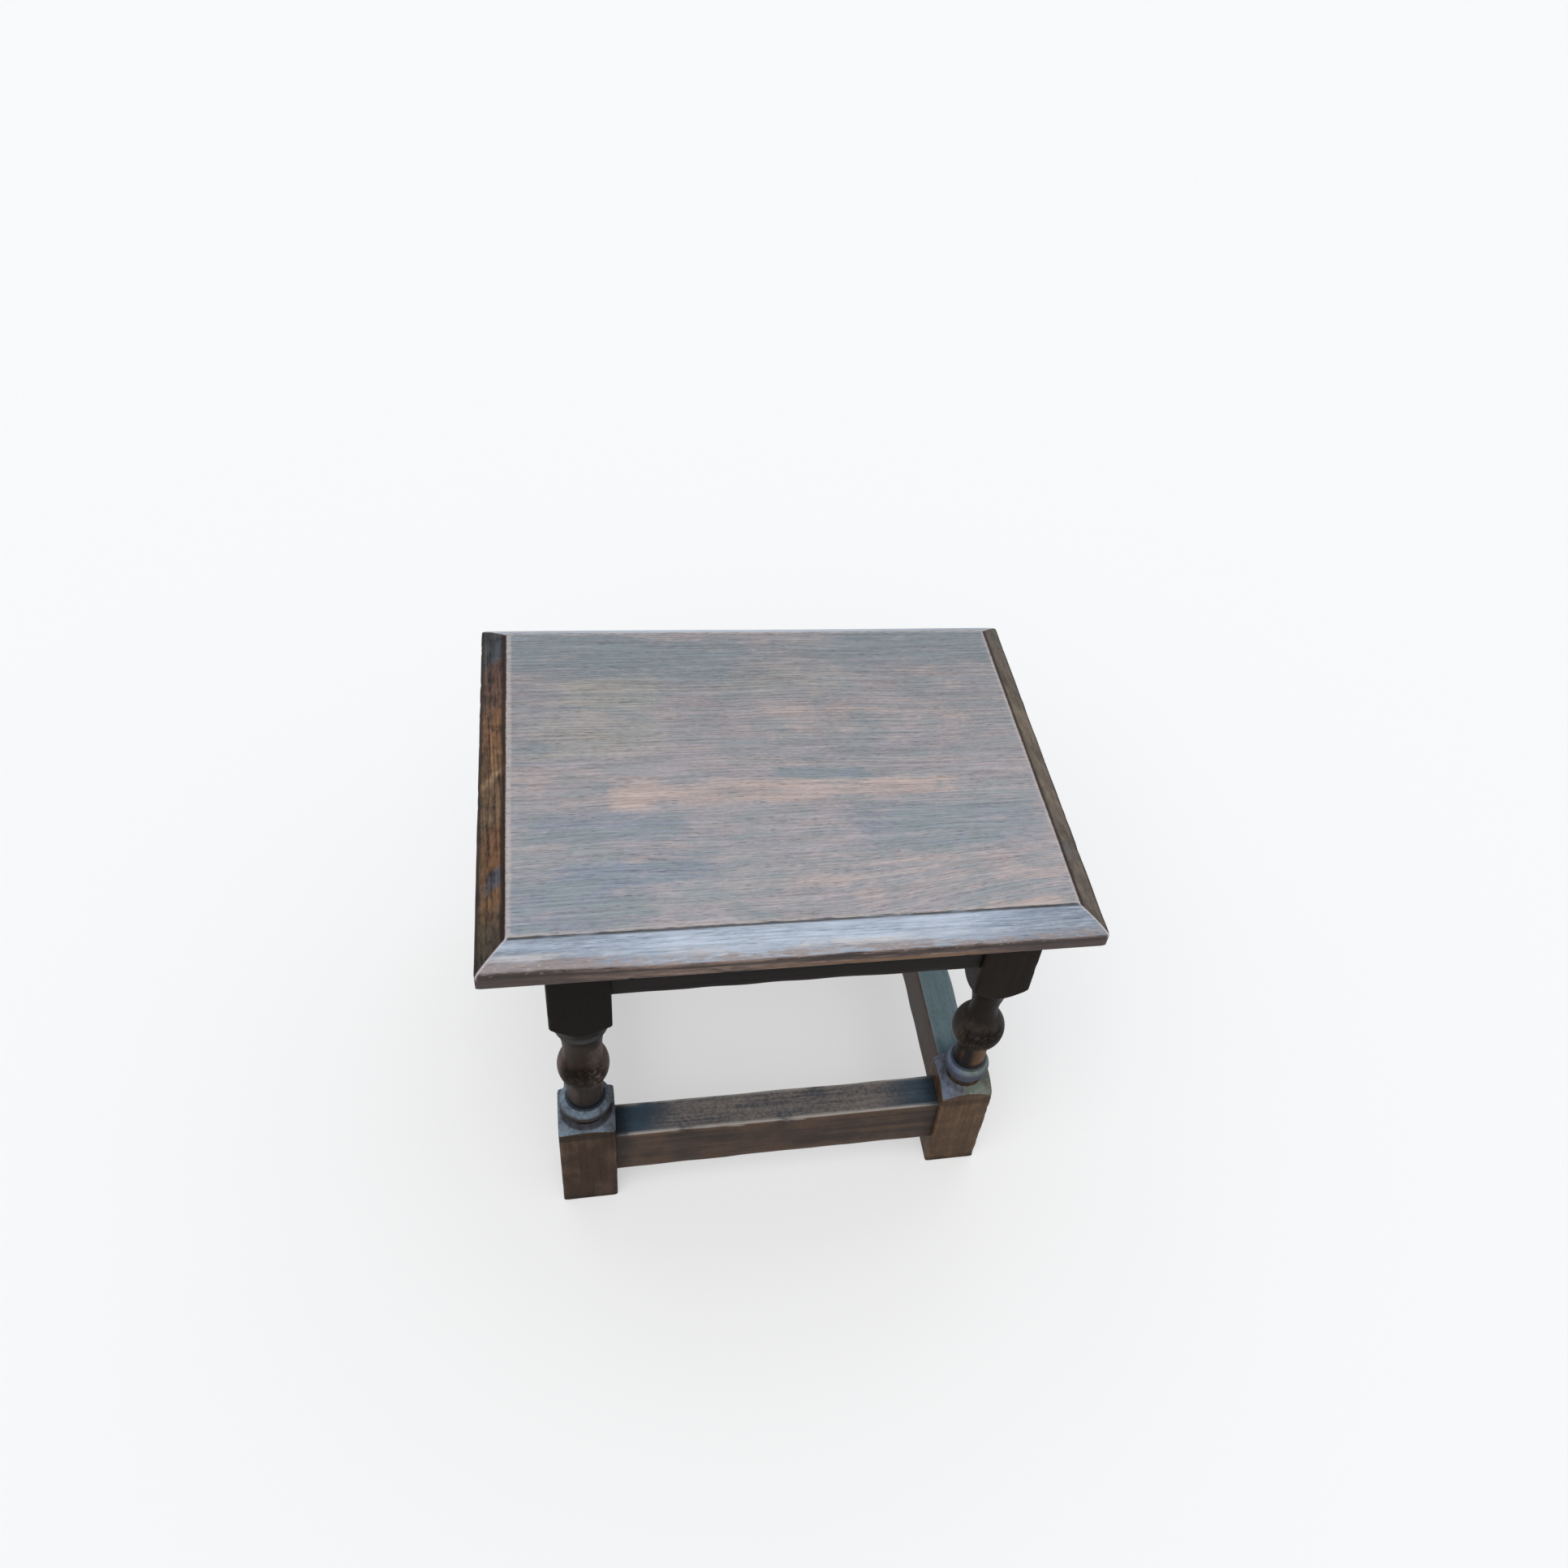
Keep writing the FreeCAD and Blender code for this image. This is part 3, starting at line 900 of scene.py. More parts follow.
@dataclass(frozen=True)
class EndFinish(Finish):
    """Moulding across the grain: end grain whose tone changes along the boards."""

    seed: float
    tones: tuple[tuple[float, str], ...]
    contrast: float = 1.0
    top: Top = Top()
    depth_of_tone: float = 0.66
    # shadow: width of the painted shade by the quirk.
    shadow: float = 4.0
    seam: float = 7.2
    bruise: float = 64.0
    lean: float = 1.3
    stride: Point = (37.0, 11.0, 0.0)
    dark: str = "#1d100e"
    olive: str = "#4d4530"
    blue: str = "#4b505c"
    cream: str = "#b9a9a2"

    def dress(self, graph: Graph) -> None:
        """Paints the tones from front to rear, the end grain, then the seam, painted shade by the
        quirk, and the lip.

        The end grain is fine lines along the edge, bands that lean as y + lean * z, and
        blotches.

        Args:
            graph: the material's tree.
        """
        place = graph.place()
        x, y, z = graph.split(place)
        end, _ = self.top.inward(x, y)
        shifted = graph.vector("ADD", place, tuple(self.seed * step for step in self.stride))
        stir = graph.noise(shifted, (12.0, 9.0), 3.0)
        speck = graph.noise(shifted, (1.8, 3.2, 1.8), 2.0, 0.7).rise(0.3, 0.7)
        slanted = graph.joined(x * 0.6 + z * 0.8 + y * 0.05 + self.seed * 9.0, y, 0.0)
        lines = graph.noise(slanted, (1.5, 70.0)).rise(0.3, 0.7)
        blotch = graph.noise(shifted, (5.0, 11.0, 5.0)).rise(0.3, 0.7)
        leaning = graph.joined(0.0, y + z * self.lean + stir.sway(8.0), self.seed)
        bands = graph.noise(leaning, (1.0, 9.0, 1.0)).rise(0.3, 0.7)

        depth = self.top.depth
        along = y + stir.sway(12.0) - (end - self.top.margin / 2) * 0.5 + depth / 2
        stops = [(start / depth, code) for start, code in self.tones]
        tone = graph.node("ShaderNodeValToRGB", {0: along * (1 / depth)}, stops=stops)
        coats = Coats(graph, tone)
        coats.over(self.olive, end.rise(9.0, 5.0) * blotch * self.contrast * 0.35)
        bruised = along.between(self.bruise - 6.0, self.bruise + 6.0, 4.0) * end.rise(5.0, 9.0)
        coats.over(self.blue, bruised * self.contrast * 0.75)
        figure = speck.sway(0.45) + lines.sway(0.9) + bands.sway(0.4) + blotch.sway(0.8)
        coats.shade((1 + figure * self.contrast) * self.depth_of_tone)
        edge = end + stir.sway(1.6)
        seam = edge.between(self.seam - 0.3, self.seam + 0.3, 0.7) * stir.rise(0.35, 0.6)
        coats.over(self.dark, seam * self.contrast * 0.7)
        # Painted shade by the quirk, and darker at the outer edge.
        painted_inner_shade = edge.rise(self.top.margin - self.shadow, self.top.margin - self.shadow * 0.4)
        coats.over(self.dark, painted_inner_shade.most(edge.rise(3.4, 1.2)) * 0.88)
        # Cream on the rounded rim: wear, and partly a painted highlight.
        coats.over(self.cream, self.top.crown(z) * (speck * 0.6 + 0.3))
        coats.over(self.dark, z.rise(self.top.arris + 0.5, self.top.arris - 1.5) * 0.62)
        coats.over(self.cream, self.top.mitre(x, y, z, 1.3) * stir * 0.8)
        coats.varnish(0.5 + stir.sway(0.2), speck.sway(0.12) + lines.sway(0.08), gloss=0.12)


@dataclass(frozen=True)
class PlainOak(Finish):
    """Oak that has never been polished, as under the top and on the glue blocks."""

    seed: float
    grain: Grain = Grain.X
    pale: str = "#7d6248"
    brown: str = "#574130"
    dark: str = "#2e221a"

    def dress(self, graph: Graph) -> None:
        """Paints broad bands, streaks and open pores.

        Args:
            graph: the material's tree.
        """
        place = graph.place()
        _, broad, streak, fibre, pore = OakFigure(self.grain, self.seed).layers(graph, place)
        stir = graph.noise(place, (40.0, 40.0), 3.0)
        bands = (broad + stir - 0.5).rise(0.25, 0.8)
        coats = Coats(graph, graph.mix(self.brown, self.pale, bands))
        coats.shade(1 + streak.sway(0.7) + fibre.sway(0.4))
        coats.over(self.dark, pore * 0.6)
        relief = streak.sway(0.16) + fibre.sway(0.1) - pore * 0.15
        coats.varnish(0.78 + stir.sway(0.15), relief, gloss=0.25)


@dataclass(frozen=True)
class LegFinish(Finish):
    """Turned leg: near-black above, rubbed at the turning, brown below, with a painted sheen where
    it faces up.
    """

    seed: float
    centre: Pair
    above: str = "#110d0a"
    turned: str = "#2b231d"
    neck: str = "#2a2522"
    neck_painted_shade: str = "#2a2522"
    below: str = "#3b2c22"
    rubbed: str = "#55443b"
    painted_rim_sheen: str = "#645653"
    # painted_sheen and far_painted_sheen: blue-grey sheen painted on faces that point up.
    painted_sheen: str = "#74879a"
    far_painted_sheen: str = "#5f6c7c"
    ring_side_shade: str = "#35302f"
    sheen: str = "#6a6c6e"
    dusk: str = "#171a20"
    dark: str = "#0e0b09"
    painted_rim_share: float = 0.3
    painted_sheen_from: float = 0.1
    right_shade: float = 0.3
    # shoulder_shade: strength of the painted shade on the shoulder.
    shoulder_shade: float = 0.5
    collar_sheen_and_shadow: float = 0.0
    ball_bare: float = 0.3
    block_top_shade: float = 0.3
    block_top: float = 85.0
    stem_top: float = 98.5
    ring_top: float = 108.0
    ball: float = 147.0
    collar: float = 193.5
    stride: Point = (19.0, 7.0, 13.0)

    def dress(self, graph: Graph) -> None:
        """Paints the tones up the leg, the turning's wear, the painted sheen, and lines of painted
        shade.

        Args:
            graph: the material's tree.
        """
        place = graph.place((*self.centre, 0.0))
        figure = OakFigure(Grain.Z, self.seed, wander=3.0)
        _, broad, streak, fibre, pore = figure.layers(graph, place)
        x, y, z = graph.split(place)
        shifted = graph.vector("ADD", place, tuple(self.seed * step for step in self.stride))
        cloud = graph.noise(shifted, (16.0, 16.0), 3.0)
        speck = graph.noise(shifted, (3.0, 3.0), 3.0, 0.65)
        reach = graph.length(graph.joined(x, y, 0.0))
        # upward sets where the painted sheen goes.
        up = graph.attribute("upward").rise(self.painted_sheen_from, self.painted_sheen_from + 0.5)
        height = z + cloud.sway(10.0)
        ball, block_top, collar = self.ball, self.block_top, self.collar

        coats = Coats(graph, graph.mix(self.below, self.turned, height.rise(86.0, 98.0)))
        # Painted shade: the neck is darker on its left side.
        shank = graph.mix(self.neck, self.neck_painted_shade, x.rise(2.0, -5.0))
        coats.over(shank, height.between(self.ring_top, ball - 15.0, 5.0))
        coats.over(self.above, height.rise(176.0, 192.0))
        rub = (cloud + broad - 0.5).rise(0.44, 0.7)
        coats.over(self.rubbed, rub * height.rise(180.0, 150.0) * 0.4)
        # Painted reflection: lighter on the ball's sides, away from a plane through its axis.
        painted_rim_sheen = (abs(x - y * 0.4) + speck.sway(6.0)).rise(6.0, 15.0)
        painted_rim_sheen = painted_rim_sheen * height.between(ball - 14.0, ball + 26.0, 6.0)
        coats.over(self.painted_rim_sheen, painted_rim_sheen * self.painted_rim_share)
        bare = height.between(ball - 16.0, ball - 5.0, 4.0) * x.rise(-7.0, 3.0)
        coats.over(self.neck, bare * self.ball_bare)
        front = height.between(ball - 5.0, ball + 9.0, 5.0) * (-y).rise(4.0, 13.0)
        coats.over(self.dark, front * speck.rise(0.34, 0.54) * 0.85)
        light = streak.sway(0.8) + fibre.sway(0.4) + speck.sway(0.5) + cloud.sway(0.6)
        coats.shade(1 + light)
        coats.over(self.dark, pore * 0.45)
        # Painted shade in the thin necks of the turning.
        coats.over(self.dark, graph.attribute("hollow_shade") * 0.6)
        worn = graph.attribute("worn") * cloud.rise(0.42, 0.68)
        coats.over(self.rubbed, worn * z.rise(110.0, 80.0))

        # Painted shade: the ring's side band is dimmer than its top.
        coats.over(self.ring_side_shade, z.between(99.0, self.ring_top, 1.0) * 0.8)
        # Painted shade on the inner part of the shoulder, round the stem.
        painted_inner_shade = z.between(80.0, self.stem_top, 2.0) * reach.rise(18.3, 16.6) * self.shoulder_shade
        coats.over(self.dark, painted_inner_shade)
        # Painted sheen on up-facing faces of the lower leg, changing towards the left, and
        # weakened on the right by right_shade.
        patchy = (cloud * 1.5 + speck.sway(1.6)).least(1.0).most(0.2)
        level = z.between(30.0, self.ring_top + 1.0, 1.5) * (1 - painted_inner_shade * 1.5)
        level = level * (1 - x.rise(6.0, 17.0) * self.right_shade)
        painted_sheen = graph.mix(self.painted_sheen, self.far_painted_sheen, (x + cloud.sway(10.0)).rise(0.0, -12.0))
        coats.over(painted_sheen, up * level * patchy * 0.85)
        # Painted shade: a dark line just under the block's top, on faces that don't point up.
        line = z.between(block_top - 6.0, block_top - 1.5, 2.5) * (1 - up)
        coats.over(self.dark, line * self.block_top_shade)
        # Painted shade in the crease at the neck's foot, just above the ring.
        dusk = z.between(self.ring_top - 0.5, self.ring_top + 3.5, 1.5)
        coats.over(self.dusk, dusk * reach.rise(13.8, 12.6) * 0.8)
        # Painted reflection on the collar's wall, and a painted shadow under the collar.
        sheen = z.between(collar - 0.5, collar + 1.5, 2.5) * (0.4 + cloud * 0.6)
        coats.over(self.sheen, sheen * self.collar_sheen_and_shadow)
        shadow_under_collar = z.between(collar - 7.0, collar - 3.5, 1.5)
        coats.over(self.dark, shadow_under_collar * self.collar_sheen_and_shadow * 2.0)
        coats.over(self.dark, (z + cloud.sway(12.0)).rise(9.0, 0.0) * 0.6)
        relief = streak.sway(0.08) + speck.sway(front * 0.5 + 0.1) - pore * 0.1
        roughness = 0.46 + cloud.sway(0.2) + front * 0.15
        coats.varnish(roughness, relief, gloss=0.045, coat=0.02)


@dataclass(frozen=True)
class RailFinish(Finish):
    """Rail: brown oak with a painted blue-grey sheen on its upper face, and rubbed arrises."""

    seed: float
    grain: Grain
    half: float
    face: str = "#4b3a30"
    shade: str = "#332924"
    rubbed: str = "#5d4c40"
    painted_sheen: str = "#4d5e69"
    brown_top: str = "#766e69"
    end_top_shade: str = "#2e4454"
    dark: str = "#0f0c0a"
    pale: str = "#a8a29d"
    middle_wear: float = 0.0
    arris_wear: float = 0.7

    def dress(self, graph: Graph) -> None:
        """Paints the faces, the upper face with its painted sheen and tread, the arrises, and
        painted shade at the ends.

        Args:
            graph: the material's tree.
        """
        place = graph.place()
        figure = OakFigure(self.grain, self.seed, wander=4.0)
        _, broad, streak, fibre, pore = figure.layers(graph, place)
        along = graph.split(place)[self.grain.value[0]]
        stir = graph.noise(place, (22.0, 22.0), 3.0)
        speck = graph.noise(place, (2.6, 2.6), 3.0, 0.7)
        up = graph.attribute("upward")

        bands = (broad + stir - 0.5).rise(0.25, 0.7)
        coats = Coats(graph, graph.mix(self.shade, self.face, bands))
        reach = abs(along + stir.sway(30.0))
        tread = reach.rise(102.0, 66.0) * self.middle_wear
        worn_top = (stir * 0.6 + streak * 0.8 + speck * 1.2).rise(1.0, 1.6)
        # Painted sheen on the upper face, worn to brown in the middle.
        top = graph.mix(self.painted_sheen, self.brown_top, tread * worn_top)
        coats.over(graph.mix(top, self.end_top_shade, reach.rise(76.0, 104.0) * 0.75), up)
        coats.shade(1 + streak.sway(0.55) + fibre.sway(0.35) + speck.sway(0.5))
        coats.over(self.dark, pore * 0.4)
        rub = graph.attribute("worn") * (stir + streak.sway(0.5)).rise(0.25, 0.5)
        coats.over(graph.mix(self.rubbed, self.pale, up), rub * self.arris_wear)
        # Painted shade at both ends, where the rail meets the legs.
        ends = abs(along + stir.sway(8.0)).rise(self.half - 14.0, self.half)
        coats.over(self.dark, ends * 0.6)
        relief = streak.sway(0.09) + fibre.sway(0.05) - pore * 0.12
        coats.varnish(0.45 + stir.sway(0.2), relief, gloss=0.08, coat=0.04)


@dataclass(frozen=True)
class ScrewSteel(Finish):
    """Dull steel of old screws, browned by age."""

    steel: str = "#8c857c"
    brown: str = "#5b4030"

    def dress(self, graph: Graph) -> None:
        """Paints steel with patches of rust.

        Args:
            graph: the material's tree.
        """
        speck = graph.noise(graph.place(), (1.1, 1.1), 4.0, 0.7)
        rust = speck.rise(0.42, 0.62)
        coats = Coats(graph, graph.mix(self.steel, self.brown, rust))
        coats.varnish(0.38 + rust * 0.35, speck * 0.06, gloss=0.5, metallic=0.85)


# Pieces


class Edge(Enum):
    """How a board ends at its front or rear: moulded, or joined to its neighbour."""

    MOULDED = 1
    JOINED = 2


class Slot(IntEnum):
    """Material slots of a board."""

    FIELD = 0
    BEVEL = 1
    LEFT_END = 2
    RIGHT_END = 3
    UNDERSIDE = 4


@dataclass
class SeatBoard:
    """One board of the top, with the parts of the moulding that are cut on it."""

    node: str
    name: str
    seed: int
    materials: list[bpy.types.Material]
    edges: tuple[Edge, Edge]
    places: Pair
    top: Top = Top()
    quirk: float = 1.0
    bulge: float = 0.8
    lip_round: float = 1.8
    arris_round: float = 1.1
    crown_round: float = 0.55
    rim: float = 0.7
    step: float = 1.7
    under_points: int = 13
    lip_points: int = 9
    bevel_points: int = 20
    waves: Ripple = Ripple((190.0, 70.0, 70.0), 0.1)
    wave_blend: float = 1.0
    rub: Ripple = Ripple((26.0, 26.0, 400.0), 0.12)
    rub_width: float = 1.6
    rub_zone: float = 3.0
    mitre_wear: float = 0.32
    mitre_width: float = 1.1
    mitre_end: Pair = (-0.2, 0.6)
    corner_wear: float = 0.5
    corner_width: float = 1.6
    hairline: float = 0.02
    joint_zone: float = 6.0
    long_knocks: int = 26
    end_knocks: int = 20
    knock_reach: float = 0.5
    knock_rise: float = 1.5

    def moulding(self) -> Array:
        """Moulding as distances in from the edge and heights, from under the lip to the rim.

        A quarter turn rounds the lip, the bevel is a line bowed by 4 * t * (1 - t), and
        curves soften its arris and the crown of the quirk.

        Returns:
            The points, one row each. Their number is even.
        """
        top, lip, margin = self.top, self.lip_round, self.top.margin
        foot, last = (margin, top.height - self.quirk), (margin + self.rim, top.height)
        inset = np.linspace(last[0], lip, self.under_points)
        under = np.column_stack([inset, np.full(self.under_points, top.base)])
        quarter = np.linspace(np.pi / 2, np.pi, self.lip_points)
        heel = turned((lip, top.base + lip), lip, -quarter)
        t = np.linspace(0, 1, self.bevel_points)[1:-1]
        bowed = top.arris + (foot[1] - top.arris) * t + self.bulge * 4 * t * (1 - t)
        bevel = np.column_stack([margin * t, bowed])
        nose = eased((0.0, top.arris - self.arris_round), (0.0, top.arris), bevel[0])
        riser = (margin, top.height - self.crown_round)
        crown = eased(riser, (margin, top.height), (margin + self.crown_round, top.height))
        return np.vstack([under[:-1], heel, nose, bevel[1:], foot, crown, last])

    def build(self) -> bpy.types.Object:
        """Builds and wears the board.

        The moulding is carried along each open edge between the planes of its mitres or
        joints, and the field and the underside are flat grids on the same stations.

        Returns:
            The finished piece.
        """
        profile = self.moulding()
        inset, height = profile.T
        half = self.top.length / 2
        front, rear = self.places
        front_y = front + inset * (self.edges[0] is Edge.MOULDED)
        rear_y = rear - inset * (self.edges[1] is Edge.MOULDED)
        side_y = front_y + (rear_y - front_y) * spaced(rear - front, self.step)[:, None]
        across_x = inset - half + 2 * (half - inset) * spaced(2 * half, self.step)[:, None]
        skin = Skin(self.name)
        skin.add(grid_of(inset - half, side_y, height), Slot.LEFT_END)
        skin.add(grid_of(half - inset, side_y, height), Slot.RIGHT_END)
        for edge, edge_y in zip(self.edges, (front_y, rear_y)):
            if edge is Edge.MOULDED:
                skin.add(grid_of(across_x, edge_y, height), Slot.BEVEL)
            else:
                self.cap(skin, profile, across_x[:, 0], edge_y[0])
        for row, slot in ((0, Slot.UNDERSIDE), (-1, Slot.FIELD)):
            flat = np.meshgrid(across_x[:, row], side_y[:, row])
            skin.add(grid_of(*flat, height[row]), slot)
        piece = skin.make(self.materials)
        sink(piece, self.wear(points_of(piece)))
        return piece

    def cap(self, skin: Skin, profile: Array, stations: Array, y: float) -> None:
        """Closes the board at a joint: the moulding's section folded in half, and a flat strip.

        Args:
            skin: the board's skin.
            profile: the moulding.
            stations: places along the field's rim.
            y: place of the joint.
        """
        inset, height = np.stack([profile, profile[::-1]], axis=1)[:len(profile) // 2].T
        for side in (-1, 1):
            fold = grid_of(side * (self.top.length / 2 - inset), y, height)
            skin.add(fold, Slot.UNDERSIDE)
        x, z = np.meshgrid(stations, profile[[0, -1], 1])
        skin.add(grid_of(x, y, z), Slot.UNDERSIDE)

    def wear(self, points: Array) -> Array:
        """Depth of wear: slow waves, soft mitres, arris and corners, knocks and hairlines.

        Args:
            points: the board's points.

        Returns:
            Millimetres for each point.
        """
        top = self.top
        x, y, z = points.T
        end, side = top.inward(x, y)
        near = np.minimum(end, side)
        upper = ramp(z, top.arris - self.wave_blend, top.arris + self.wave_blend)
        depth = self.waves.at(points, self.seed) * upper
        on_bevel = upper * ramp(top.margin - near, *self.mitre_end)
        depth += self.mitre_wear * bell(end - side, self.mitre_width) * on_bevel
        rub = self.rub.at(points, self.seed + 7)
        rub *= ramp(self.rub_zone - near, 0, self.rub_zone)
        depth += rub * bell(z - top.arris, self.rub_width)
        half_x, half_y, reach = top.length / 2, top.depth / 2, self.knock_reach
        for step, count, across, deep in (
            (11, self.long_knocks, (-half_x, half_x), (-half_y - reach, reach - half_y)),
            (13, self.long_knocks, (-half_x, half_x), (half_y - reach, half_y + reach)),
            (17, self.end_knocks, (-half_x - reach, reach - half_x), (-half_y, half_y)),
            (19, self.end_knocks, (half_x - reach, half_x + reach), (-half_y, half_y)),
        ):
            low, high = zip(across, deep, (top.base, top.arris + self.knock_rise))
            depth += Dents(low, high, count).at(points, self.seed + step)
        flush = np.ones(len(points))
        for place, edge in zip(self.places, self.edges):
            if edge is Edge.JOINED:
                flush *= ramp(abs(y - place), 0, self.joint_zone)
        depth += self.corner_wear * bell(np.hypot(end, side), self.corner_width)
        return depth * flush + self.hairline * (1 - flush) * upper


@dataclass
class TurnedLeg:
    """Square leg whose middle is turned, as a rounded square cut by a turned outline.

    The sizes of the turning are diameters, and heights above the floor.
    """

    node: str
    name: str
    centre: Pair
    seed: int
    material: bpy.types.Material
    side: float = 38.0
    arris_round: float = 1.6
    foot_chamfer: float = 1.0
    total: float = Top().base
    lower_corner: float = 85.0
    stem_base: float = 91.0
    stem: float = 26.8
    ring: float = 31.6
    ring_low: float = 98.0
    ring_high: float = 108.0
    ring_top: float = 25.4
    neck_base: float = 22.6
    neck_waist: float = 21.6
    ball: float = 34.0
    ball_height: float = 148.0
    ball_stretch: float = 1.0
    ball_foot: float = 22.8
    ball_crown: float = 23.2
    upper_neck: Pair = (22.0, 172.0)
    bead: float = 0.6
    collar: float = 26.4
    collar_low: float = 186.0
    collar_high: float = 189.0
    upper_corner: float = 211.0
    flare_shares: Pair = (0.36, 0.64)
    shoulder_bulge: float = 0.8
    crease: float = 0.7
    block_overlap: float = 0.6
    fine: float = 0.42
    outline_step: float = 0.1
    softened: int = 7
    face_points: int = 20
    corner_points: int = 7
    end_rings: int = 9
    foot_rings: tuple[float, ...] = (0.0, 0.25, 0.5, 0.75, 1.0, 1.4, 2.2)
    lower_start: float = 4.0
    lower_step: float = 2.0
    upper_step: float = 2.5
    # Radii and heights of the thin necks that take painted shade.
    hollow_radii: Pair = (9.6, 12.4)
    hollow_rise: Pair = (90.0, 94.0)
    hollow_fall: Pair = (186.0, 190.0)
    waves: Ripple = Ripple((28.0, 28.0, 60.0), 0.09)
    rub: Ripple = Ripple((60.0, 60.0, 22.0), 0.25)
    rub_reach: Pair = (0.8, 3.6)
    unworn_ends: float = 2.0
    block_knocks: tuple[tuple[float, float, int, int], ...] = (
        (0.0, 88.0, 7, 5), (210.0, 262.0, 3, 9),
    )

    def outline(self) -> Array:
        """Radius and height of the turning, from the lower corner up to the upper one.

        Lines and arcs through three points follow the CAD, and a moving average rounds their
        corners as wear does.

        Returns:
            Radii and heights, one row each.
        """
        corner, low, high = self.side * math.sqrt(0.5), self.lower_corner, self.upper_corner
        stem, ring, ring_rim = self.stem / 2, self.ring / 2, self.ring_top / 2
        neck, waist, ball = self.neck_base / 2, self.neck_waist / 2, self.ball / 2
        foot, crown = self.ball_foot / 2, self.ball_crown / 2
        collar, thin = self.collar / 2, (self.upper_neck[0] / 2, self.upper_neck[1])
        foot_z = self.ball_height - self.ball_stretch * math.sqrt(ball ** 2 - foot ** 2)
        crown_z = self.ball_height + self.ball_stretch * math.sqrt(ball ** 2 - crown ** 2)
        shoulder = ((corner + stem) / 2, (low + self.stem_base) / 2 + self.shoulder_bulge)
        across, up = self.flare_shares
        rim = (collar, self.collar_high)
        flare = (collar + (corner - collar) * across, rim[1] + (high - rim[1]) * up)
        middle, top = (self.ring_low + self.ring_high) / 2, self.ring_high
        arcs = (
            ((corner, low), shoulder, (stem, self.stem_base), 20),
            ((stem, self.ring_low), (ring, middle), (ring_rim, top), 20),
            ((neck, top), (waist, (top + foot_z) / 2), (foot, foot_z), 20),
            ((foot, foot_z), (ball, self.ball_height), (crown, crown_z), 40),
            ((crown, crown_z), thin, (collar - self.bead, self.collar_low), 20),
            (rim, flare, (corner, high), 30),
        )
        lines = [arc_through(*arc) for arc in arcs]
        lines.insert(5, np.array([[collar, self.collar_low + self.bead]]))
        dense = resampled(np.vstack(lines), self.outline_step)
        beyond = self.softened // 2
        padded = np.pad(dense, ((beyond, beyond), (0, 0)), mode="edge")
        window = np.full(self.softened, 1 / self.softened)
        smooth = np.column_stack([np.convolve(line, window, "valid") for line in padded.T])
        return resampled(smooth, self.fine)

    def section(self) -> Array:
        """Rounded square of the blocks, as one closed ring of points about the centre.

        A straight side and a quarter turn are repeated four times, each a right angle on.

        Returns:
            X and Y of each point. The last is the first again.
        """
        half, bend = self.side / 2, self.arris_round
        straight = np.linspace(bend - half, half - bend, self.face_points)[:-1]
        face = np.column_stack([np.full(len(straight), half), straight])
        angles = np.linspace(0, np.pi / 2, self.corner_points)[:-1]
        arris = turned((half - bend, half - bend), bend, angles)
        quarters = [np.vstack([face, arris])]
        for _ in range(3):
            quarters.append(quarters[-1] @ np.array([[0.0, 1.0], [-1.0, 0.0]]))
        return np.vstack([*quarters, quarters[0][:1]])

    def build(self) -> bpy.types.Object:
        """Builds and wears the leg, and marks where it faces up, where it is rubbed, and its thin
        necks for painted shade.

        On each ring the radius is the lesser of the square's and the turning's, with the
        crease rounded. Both ends are rings that close on the centre.

        Returns:
            The finished piece.
        """
        square, profile = self.section(), self.outline()
        reach = np.linalg.norm(square, axis=1)
        base, top = self.lower_corner - self.block_overlap, self.upper_corner + self.block_overlap
        even = np.arange(self.lower_start, base - 1, self.lower_step)
        low_z = np.concatenate([self.foot_rings, even, [base]])
        high_z = np.append(np.arange(top, self.total - 1, self.upper_step), self.total)
        z = np.concatenate([low_z, profile[:, 1], high_z])[:, None]
        beyond = (len(low_z), len(high_z))
        radius = np.pad(profile[:, 0], beyond, constant_values=self.side)[:, None]
        chamfer = 1 - np.clip(self.foot_chamfer - z, 0, None) / (self.side / 2)
        rings = soft_min(reach * chamfer, radius, self.crease)
        shares = np.linspace(1, 0, self.end_rings)[:, None]
        skin = Skin(self.name)
        caps = (rings[0] * shares, 0.0), (rings[-1] * shares, self.total)
        for ring, height in ((rings, z), *caps):
            flat = (ring * part + place for part, place in zip(square.T / reach, self.centre))
            skin.add(grid_of(*flat, height))
        piece = skin.make([self.material])
        sink(piece, self.wear(self.local(piece)))
        local = self.local(piece)
        rise, fall = (ramp(local[:, 2], *ends) for ends in (self.hollow_rise, self.hollow_fall))
        hollow_shade = 1 - ramp(np.hypot(local[:, 0], local[:, 1]), *self.hollow_radii)
        mark(piece, "upward", normals_of(piece)[:, 2])
        mark(piece, "worn", self.corner_share(local))
        mark(piece, "hollow_shade", rise * (1 - fall) * hollow_shade)
        return piece

    def local(self, piece: bpy.types.Object) -> Array:
        """A piece's points in millimetres from the leg's centre on the floor."""
        return points_of(piece) - np.array([*self.centre, 0.0])

    def wear(self, points: Array) -> Array:
        """Depth of wear: slow waves, and rubbed and knocked arrises.

        Args:
            points: the leg's points from its centre.

        Returns:
            Millimetres for each point.
        """
        depth = self.waves.at(points, self.seed)
        depth += self.corner_share(points) * self.rub.at(points, self.seed + 3)
        half = self.side / 2
        for index in range(4):
            corner = half * (-1) ** index, half * (-1) ** (index // 2)
            for low, high, count, step in self.block_knocks:
                knocks = Dents((*corner, low), (*corner, high), count)
                depth += knocks.at(points, self.seed + step + index)
        z = points[:, 2]
        return depth * ramp(z, 0, self.unworn_ends) * ramp(self.total - z, 0, self.unworn_ends)

    def corner_share(self, points: Array) -> Array:
        """1 on the arrises of the blocks, falling to 0 a few millimetres away."""
        inward = self.side / 2 - abs(points[:, :2])
        return 1 - ramp(np.hypot(*inward.T), *self.rub_reach)


